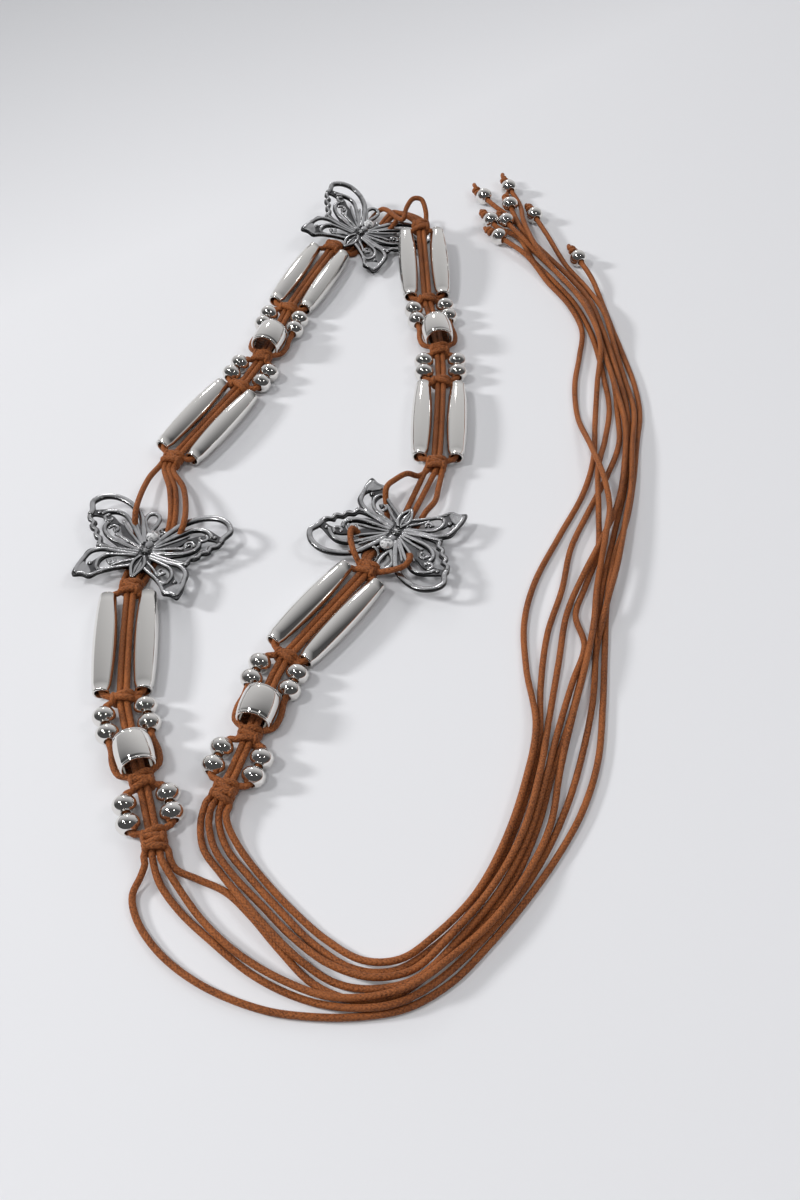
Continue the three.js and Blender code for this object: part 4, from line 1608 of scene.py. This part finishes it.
    def add_link(self, body: Body, link: Link, knot: Piece) -> None:
        """The four cords of a link, meeting the knot in the order in which they arrive.

        Args:
            body: The cord work.
            link: The link.
            knot: The knot next to the butterfly.
        """
        strands = [self.strand(link, rows) for rows in LINK_ROWS[link.style]]
        strands.sort(key=lambda strand: (strand[-1] - knot.middle).dot(knot.across))
        pitch = 2 * (CORD.knot_half_width - CORD.radius) / 3
        outwards = -1 if link.first else 1
        for index, strand in enumerate(strands):
            left = (index - MIDDLE_PLACE) * pitch
            arrival = []
            if link.style in (LinkStyle.HEAD, LinkStyle.ARCH):
                arrival = [knot.point(outwards * (knot.half + 2 * CORD.radius), left)]
            if link.style is LinkStyle.HEAD:
                bow = arrival[0].lerp(strand[-1], self.bow_place)
                arrival.insert(0, bow + knot.across * self.HEAD_BOWS[index] + UP * self.bow_rise)
                if index in (0, 3):
                    strand.pop()
            highest = max(other[-1].z for other in strands)
            if link.style is LinkStyle.ARCH and strand[-1].z == highest:
                strand[-1:] = [knot.point(outwards * (knot.half + along), left - right, height)
                               for along, right, height in self.ARCH]
            body.tube(smooth([*strand, *arrival, knot.point(0, left)], 1.0), CORD.radius, 12)


@dataclass(frozen=True)
class Beads:
    """Every turned metal bead of the belt."""

    layout: Layout
    palette: Palette
    tube: TubeBead = TubeBead()
    barrel: BarrelBead = BarrelBead()
    round: RoundBead = RoundBead()
    last: RoundBead = RoundBead(diameter=7.9, thickness=7.4, bore=3.0)
    from_knot: float = 6.75
    end_lift: float = 0.35
    shapes: dict[BeadShape, bpy.types.Mesh] = field(default_factory=dict)

    def __post_init__(self) -> None:
        """Spins each kind of bead once."""
        half = self.round.pitch / 2
        self.shapes.update({
            BeadShape.TUBE: spun("tube", [self.tube.profile()]),
            BeadShape.BARREL: spun("barrel", [self.barrel.profile()], 64),
            BeadShape.PAIR: spun("pair", [self.round.profile(-half), self.round.profile(half)]),
            BeadShape.END: spun("end", [self.last.profile()]),
        })

    def put(self, node: str, shape: BeadShape, middle: Vector, along: Vector) -> bpy.types.Object:
        """Places a copy of a spun bead.

        Args:
            node: The CAD node that it stands for.
            shape: Which bead it is.
            middle: Its middle on the plan.
            along: The direction of its bore.

        Returns:
            The bead.
        """
        mesh = self.shapes[shape].copy()
        mesh.transform(Matrix.Translation(middle) @ turned(along))
        return publish(f"{node}_spun", mesh, [self.palette.nickel], node)

    def build_arm(self, arm: Arm) -> None:
        """Places the beads of one arm.

        Args:
            arm: The arm.
        """
        sides = {
            Kind.TUBES: ("tube_bead", BeadShape.TUBE, CORD.tube_spread, self.tube.axis_height),
            Kind.BEADS: ("round_beads", BeadShape.PAIR, CORD.bead_spread, self.round.diameter / 2),
        }
        count = dict.fromkeys(sides, 0)
        for piece in arm.pieces:
            if piece.kind is Kind.BARREL:
                self.put(f"barrel_bead_{arm.name}_{piece.section.value}", BeadShape.BARREL,
                         piece.point(0, 0, self.barrel.axis_height), piece.along)
            if piece.kind in sides:
                count[piece.kind] += 1
                node, shape, spread, height = sides[piece.kind]
                for name, side in (("left", 1), ("right", -1)):
                    self.put(f"{node}_{arm.name}_{count[piece.kind]}_{name}", shape,
                             piece.point(0, side * spread, height), piece.along)

    def build_end(self, name: str) -> bpy.types.Object:
        """Places the bead of one free cord, just before its small knot.

        Args:
            name: The cord's name.

        Returns:
            The bead.
        """
        path = self.layout.tails[name]
        back = (path[-2] - path[-1]).normalized()
        return self.put(f"end_bead_{name}", BeadShape.END,
                        path[-1] + back * self.from_knot + UP * self.end_lift, back)


@dataclass(frozen=True)
class Rod:
    """One cast rod: its radius, its points, its height over the wing, and its width for its height."""

    radius: float
    points: tuple[Row, ...]
    raised: float = 0.0
    wide: float = 1.3


@dataclass(frozen=True)
class Butterfly:
    """A cast openwork butterfly with a cut stone on its head and one in the flower on its chest.

    The wings' tables give the +x side of the body, and the other side mirrors them.
    """

    name: str
    matrix: Matrix
    palette: Palette

    OUTLINE = (
        (1.6, 8.6), (2.4, 4.9), (3.9, 9.6), (6.9, 14.6), (10.4, 18.6), (15.6, 21.6), (21.6, 22.4),
        (26.6, 20.2), (29.2, 16.2), (27.6, 11.8), (27.4, 9.4), (26.6, 7.2), (24.6, 6.2), (24.6, 4.4),
        (23.4, 3.1), (21.6, 2.6), (21.5, 1.1), (20.2, -0.4), (18.6, -0.8), (18.6, -2.4),
        (17.6, -3.9), (20.3, -6.6), (20.9, -11.2), (21.4, -15.4), (20.8, -19.4), (17.6, -18.4),
        (14.6, -18.4), (12.6, -15.8), (10, -13.4), (2.3, -8.8),
    )
    OPENINGS = (
        ((5.2, 7.4), (8.2, 13.2), (11.4, 17), (16.2, 19.8), (21.4, 20.5), (25.4, 18.8), (27.3, 15.6),
         (26, 12.6), (23, 13.6), (20, 15), (17, 15.6), (13.4, 14.6), (9.6, 11)),
        ((6, 5.4), (10.4, 10.2), (14, 13.2), (17.4, 13.8), (19.8, 12.6), (17.2, 11.4), (14.4, 9.6),
         (12.6, 9)),
        ((7, 1.4), (12, 5.4), (14, 8.6), (16.6, 8.4), (18.2, 6.4), (17.4, 4.6), (14.6, 2.6)),
        ((25.4, 9.5), (24.6, 7.9), (22.6, 7), (22.6, 5.2), (20.4, 4), (19.6, 1.9), (17.6, 0.8),
         (16.4, -1.4), (10, -1.5), (15.4, 1), (18.8, 3.4), (19.9, 6.4), (19.4, 9), (21.6, 10.2)),
        ((15.8, -4), (18.7, -7.2), (19.2, -11.2), (17.6, -13.2), (15.6, -9.4), (10.8, -4.6)),
        ((4.2, -2.8), (12.2, -7), (13.8, -10.2), (12.6, -13.6), (5.2, -7.8)),
    )
    RODS = (
        Rod(0.9, ((2, 3.4), (5, 10), (9, 16.4), (15.6, 20.6), (21.6, 21.4), (26.2, 19.3),
                  (28.2, 15.8), (26.7, 11.9), (26.6, 9.4)), 0.2, 1.25),
        Rod(0.6, ((26.6, 9.6), (25.9, 7.7), (23.9, 6.7), (23.7, 4.6), (21.2, 3.2), (20.7, 1.2),
                  (18.4, 0.1), (17.3, -2.6), (12, -2.6), (7, -1.8), (2, -0.9)), 0.4, 1.2),
        Rod(0.6, ((2.4, 2.4), (6, 6.6), (10.4, 11.2), (14, 14), (17.4, 14.6), (21, 13.2),
                  (22.6, 11.2)), 0.45),
        Rod(0.5, ((19.6, 12.4), (21, 10.4), (19.4, 9), (17.9, 9.8), (18.2, 11)), 0.45),
        Rod(0.6, ((2.2, -0.2), (8.6, 0.5), (14.8, 1.7), (18, 4), (19, 6.4), (18.4, 8.6)), 0.45),
        Rod(0.5, ((17.6, 5.6), (16, 7.6), (14.2, 7.4), (13.8, 5.8), (15, 5)), 0.45),
        Rod(0.45, ((2, 1.4), (6, 4.4), (10, 7.4), (13.6, 10.8)), 0.5),
        Rod(0.45, ((2, 0.8), (6.4, 2.2), (10.6, 3.4), (14, 4)), 0.5),
        Rod(0.4, ((3, 4), (6.4, 8.4), (9.4, 12.6)), 0.55),
        Rod(0.75, ((2, -2.1), (9, -3.4), (15.4, -4.3), (18.9, -6.8), (20, -10.6), (20.4, -15),
                   (20, -18.2)), 0.3, 1.2),
        Rod(0.6, ((20, -18.2), (17.4, -17.4), (14.8, -17.4), (12.6, -15), (9.6, -12.3),
                  (2, -7.6)), 0.4, 1.2),
        Rod(0.5, ((2.4, -2.9), (8, -4.6), (13, -6.6), (14.8, -10), (13.6, -13.6), (10.4, -13)), 0.5),
        Rod(0.45, ((11.8, -8.4), (10, -9.8), (8.6, -8.4), (9.6, -7)), 0.4),
        Rod(0.4, ((2, -4.6), (6, -7.4), (9.4, -10.6)), 0.5),
    )
    CORNER = ((19.5, -12.2), (20.5, -15.2), (20.3, -18.4), (17.4, -17.6), (14.6, -17.6),
              (14.8, -15.6), (17, -13.4))
    BALLS = ((23.6, 11.6, 1.15), (16.9, -12.2, 1.1), (26.9, 10.4, 0.95), (23.9, 5.5, 0.8),
             (20.9, 2, 0.8), (17.6, -3.1, 1.0), (10.6, -8.6, 0.8), (15.2, 6.2, 0.8))
    FEELER = Rod(0.62, ((-1, 6.8), (-2.6, 9.2), (-4.6, 11.6), (-6.2, 14.6), (-5.6, 17.6), (-3.4, 18.6),
                        (-1.4, 17), (-1.2, 13.6), (-1.8, 9.8), (-0.6, 7)), 0.3, 1.4)
    # Points over the wings' middle plane at the body, as (x, y, height)
    RING_STEM = ((0.8, 7, 0.08), (2, 9, 0.2), (3.2, 10.4, 0.02))
    MIDRIB = ((0, -3, 0.9), (0, -8, 1.1), (0, -12.6, 0.7))
    LEAF = ((0.5, -2.6, 1.2), (2.1, -5.6, 1.1), (2.2, -8.4, 1.0), (1.1, -11.2, 0.9), (0, -13.4, 0.7))
    # Chest and tail, as (x, y, height), the three half-axes and the segments round them
    LUMPS = (((0, 3.6, 0.3), (1.9, 3.0, 1.3), 16), ((0, -7.8, 0.1), (1.7, 4.9, 0.9), 20))
    FLOWER = (2.0, 2.0, 1.0)

    @staticmethod
    def on_wing(x: float, y: float, raised: float = 0.0) -> Vector:
        """A point in the wing's middle plane, or raised over it."""
        return Vector((x, y, BUTTERFLY.height(x) + raised))

    @staticmethod
    def on_body(x: float, y: float, raised: float) -> Vector:
        """A point raised over the middle plane at the body."""
        return Vector((x, y, BUTTERFLY.middle + raised))

    def build(self) -> bpy.types.Object:
        """Makes the butterfly in its own frame and puts it in place.

        Returns:
            The butterfly.
        """
        body = Body()
        whole = [*self.OUTLINE, *((-x, y) for x, y in reversed(self.OUTLINE))]
        openings = [[(side * x, y) for x, y in opening] for opening in self.OPENINGS for side in (1, -1)]
        body.web([rounded(whole, 4), *map(rounded, openings)], BUTTERFLY.web, BUTTERFLY.height, WEB_INDEX)
        for side in (1, -1):
            for rod in self.RODS:
                self.add_rod(body, rod, side, 0.8)
            corner = [self.on_wing(side * x, y, BUTTERFLY.corner_rise) for x, y in self.CORNER]
            body.plate(corner[::-side], BUTTERFLY.corner)
            for x, y, radius in self.BALLS:
                body.ball(self.on_wing(side * x, y, BUTTERFLY.ball_rise), radius)
        self.add_feelers(body)
        self.add_chest(body)
        self.add_head(body)
        self.add_flower(body)
        body.place(self.matrix)
        name = f"{self.name}_cast"
        materials = [self.palette.silver, self.palette.crystal, self.palette.deep_silver]
        return publish(name, body.to_mesh(name), materials, self.name)

    def add_rod(self, body: Body, rod: Rod, side: int, spacing: float) -> None:
        """Adds a rod that follows the wing.

        Args:
            body: The butterfly.
            rod: The rod.
            side: 1, or -1 for the mirrored side.
            spacing: How far apart the samples of its line are.
        """
        points = [self.on_wing(side * x, y, rod.raised) for x, y in rod.points]
        body.rod(smooth(points, spacing), rod.radius, rod.wide)

    def add_feelers(self, body: Body) -> None:
        """The two feelers: a long curl, and a round loop on a stem that takes the cords.

        Args:
            body: The butterfly.
        """
        self.add_rod(body, self.FEELER, 1, 0.7)
        x, y, radius = BUTTERFLY.ring
        tilt = Matrix.Rotation(-math.radians(BUTTERFLY.ring_tilt), 4, "X")
        middle = Vector((x, y, BUTTERFLY.middle - BUTTERFLY.ring_drop))
        angles = [2 * math.pi * k / 32 for k in range(32)]
        loop = [middle + tilt @ Vector((math.cos(a), math.sin(a), 0)) * radius for a in angles]
        body.tube(loop, BUTTERFLY.ring_wire, 10, closed=True)
        body.rod(smooth([self.on_body(*row) for row in self.RING_STEM], 0.7), BUTTERFLY.ring_wire)

    def add_chest(self, body: Body) -> None:
        """The chest, and the leaf-shaped tail with its midrib and edges.

        Args:
            body: The butterfly.
        """
        for place, half_axes, steps in self.LUMPS:
            body.ball(self.on_body(*place), Vector(half_axes), steps=steps)
        body.rod(smooth([self.on_body(*row) for row in self.MIDRIB], 0.8), BUTTERFLY.midrib)
        for side in (1, -1):
            edge = [self.on_body(side * x, y, z) for x, y, z in self.LEAF]
            body.rod(smooth(edge, 0.7), *BUTTERFLY.leaf_edge)

    def add_head(self, body: Body) -> None:
        """The large stone in its collar.

        Args:
            body: The butterfly.
        """
        low, high, height = BUTTERFLY.collar
        radius, rise = BUTTERFLY.large_stone
        base = BUTTERFLY.base_rise
        body.cone(self.on_body(0, BUTTERFLY.head, base - BUTTERFLY.collar_drop), low, high, height, 24)
        angles = [2 * math.pi * k / 24 for k in range(24)]
        wire = [self.on_body(radius * math.cos(a), BUTTERFLY.head + radius * math.sin(a),
                             base + BUTTERFLY.wire_rise) for a in angles]
        body.tube(wire, BUTTERFLY.collar_wire, 8, closed=True)
        stone = self.on_body(0, BUTTERFLY.head, base + BUTTERFLY.large_rise)
        body.gem(stone, radius, rise, CRYSTAL_INDEX)

    def add_flower(self, body: Body) -> None:
        """The flower between the wings, with the small stone in its middle.

        Args:
            body: The butterfly.
        """
        radius, rise = BUTTERFLY.small_stone
        base = BUTTERFLY.base_rise
        body.ball(self.on_body(0, 0, base), Vector(self.FLOWER))
        body.gem(self.on_body(0, 0, base + BUTTERFLY.small_rise), radius, rise, CRYSTAL_INDEX)
        for k in range(BUTTERFLY.petals):
            angle = 2 * math.pi * k / BUTTERFLY.petals
            reach, up = BUTTERFLY.petal_reach, base + BUTTERFLY.petal_rise
            body.ball(self.on_body(reach * math.cos(angle), reach * math.sin(angle), up),
                      BUTTERFLY.petal, steps=10)


@dataclass(frozen=True)
class Lamp:
    """A square soft light: its place, its side in metres, its watts, and whether the metal mirrors it."""

    name: str
    place: Row
    size: float
    watts: float
    mirrored: bool


@dataclass(frozen=True)
class Studio:
    """The table, light and camera of the photograph: metres, degrees, and millimetres of film."""

    palette: Palette
    lens: float = 37.56
    film: Row = (24.0, 36.0)
    camera_place: Row = (0.04625, -0.360262, 0.3614)
    camera_tilt: float = 38.54
    table_size: float = 2.0
    table_place: Row = (0.0, 0.6, -0.00002)
    aim: Row = (0.03, -0.05, 0.0)
    room_dark: Row = (0.07, 0.07, 0.072, 1.0)
    room_pale: Row = (0.66, 0.66, 0.67, 1.0)
    room_span: Row = (-0.1, 0.9)
    room_power: float = 0.9

    LAMPS = (
        Lamp("key", (-2.4, 0.2, 1.2), 0.34, 45.0, mirrored=False),
        Lamp("second", (-1.4, -0.3, 2.2), 0.32, 19.0, mirrored=True),
        Lamp("third", (1.7, 0.3, 2.0), 0.6, 6.8, mirrored=False),
        Lamp("spark", (0.9, -0.7, 1.6), 0.14, 1.6, mirrored=True),
        Lamp("left_spark", (-0.5, -1.0, 1.5), 0.12, 0.8, mirrored=True),
        Lamp("rim", (-0.5, 2.2, 1.25), 0.25, 3.4, mirrored=True),
        Lamp("front", (0.0, -1.3, 2.6), 0.7, 10.5, mirrored=False),
    )

    def build_camera(self) -> None:
        """The camera, looking along +y and down onto the table."""
        data = bpy.data.cameras.new("camera")
        data.lens = self.lens
        data.sensor_fit = "VERTICAL"
        data.sensor_width, data.sensor_height = self.film
        camera = bpy.data.objects.new("camera", data)
        camera.location = self.camera_place
        camera.rotation_euler = (math.radians(self.camera_tilt), 0.0, 0.0)
        bpy.context.scene.collection.objects.link(camera)
        bpy.context.scene.camera = camera

    def build_table(self) -> None:
        """The pale table under the belt."""
        work = bmesh.new()
        bmesh.ops.create_grid(work, x_segments=1, y_segments=1, size=self.table_size)
        mesh = bpy.data.meshes.new("table")
        work.to_mesh(mesh)
        work.free()
        mesh.transform(Matrix.Translation(self.table_place))
        mesh.materials.append(self.palette.table)
        table = bpy.data.objects.new("table", mesh)
        bpy.context.scene.collection.objects.link(table)

    def add_lamp(self, lamp: Lamp) -> None:
        """Adds a light that faces the belt.

        Args:
            lamp: The light.
        """
        data = bpy.data.lights.new(lamp.name, "AREA")
        data.shape, data.size, data.energy = "SQUARE", lamp.size, lamp.watts
        light = bpy.data.objects.new(lamp.name, data)
        light.location = lamp.place
        light.visible_glossy = lamp.mirrored
        light.rotation_euler = (Vector(self.aim) - Vector(lamp.place)).to_track_quat("-Z", "Y").to_euler()
        bpy.context.scene.collection.objects.link(light)

    def build_light(self) -> None:
        """The lamps, and a room that is pale behind the belt and dark at the camera."""
        for lamp in self.LAMPS:
            self.add_lamp(lamp)
        world = bpy.data.worlds.new("room")
        world.use_nodes = True
        graph = Graph(world.node_tree)
        place = graph.add("ShaderNodeTexCoord").outputs["Generated"]
        share = graph.math("POWER", graph.remap(graph.axis(place, 1), *self.room_span), self.room_power)
        color = graph.mix(share, self.room_dark, self.room_pale)
        background = graph.add("ShaderNodeBackground", {"Color": color, "Strength": 1.0})
        graph.add("ShaderNodeOutputWorld", {"Surface": background.outputs[0]})
        bpy.context.scene.world = world
        bpy.context.scene.view_settings.view_transform = "Standard"


def main() -> None:
    """Builds the belt: the camera and cords first, then the beads, butterflies, table and light."""
    logging.basicConfig(level=logging.INFO, format="%(name)s: %(message)s")
    layout, palette = Layout(), Palette()
    studio = Studio(palette)
    studio.build_camera()
    beads, cords = Beads(layout, palette), Cords(layout, palette)
    for name in TAILS:
        cords.build_tail(name, beads.build_end(name))
    for arm in layout.arms.values():
        for section in Section:
            cords.build_section(arm, section)
        beads.build_arm(arm)
    for name, matrix in layout.frames.items():
        Butterfly(name, matrix, palette).build()
    studio.build_table()
    studio.build_light()


if __name__ == "__main__":
    main()
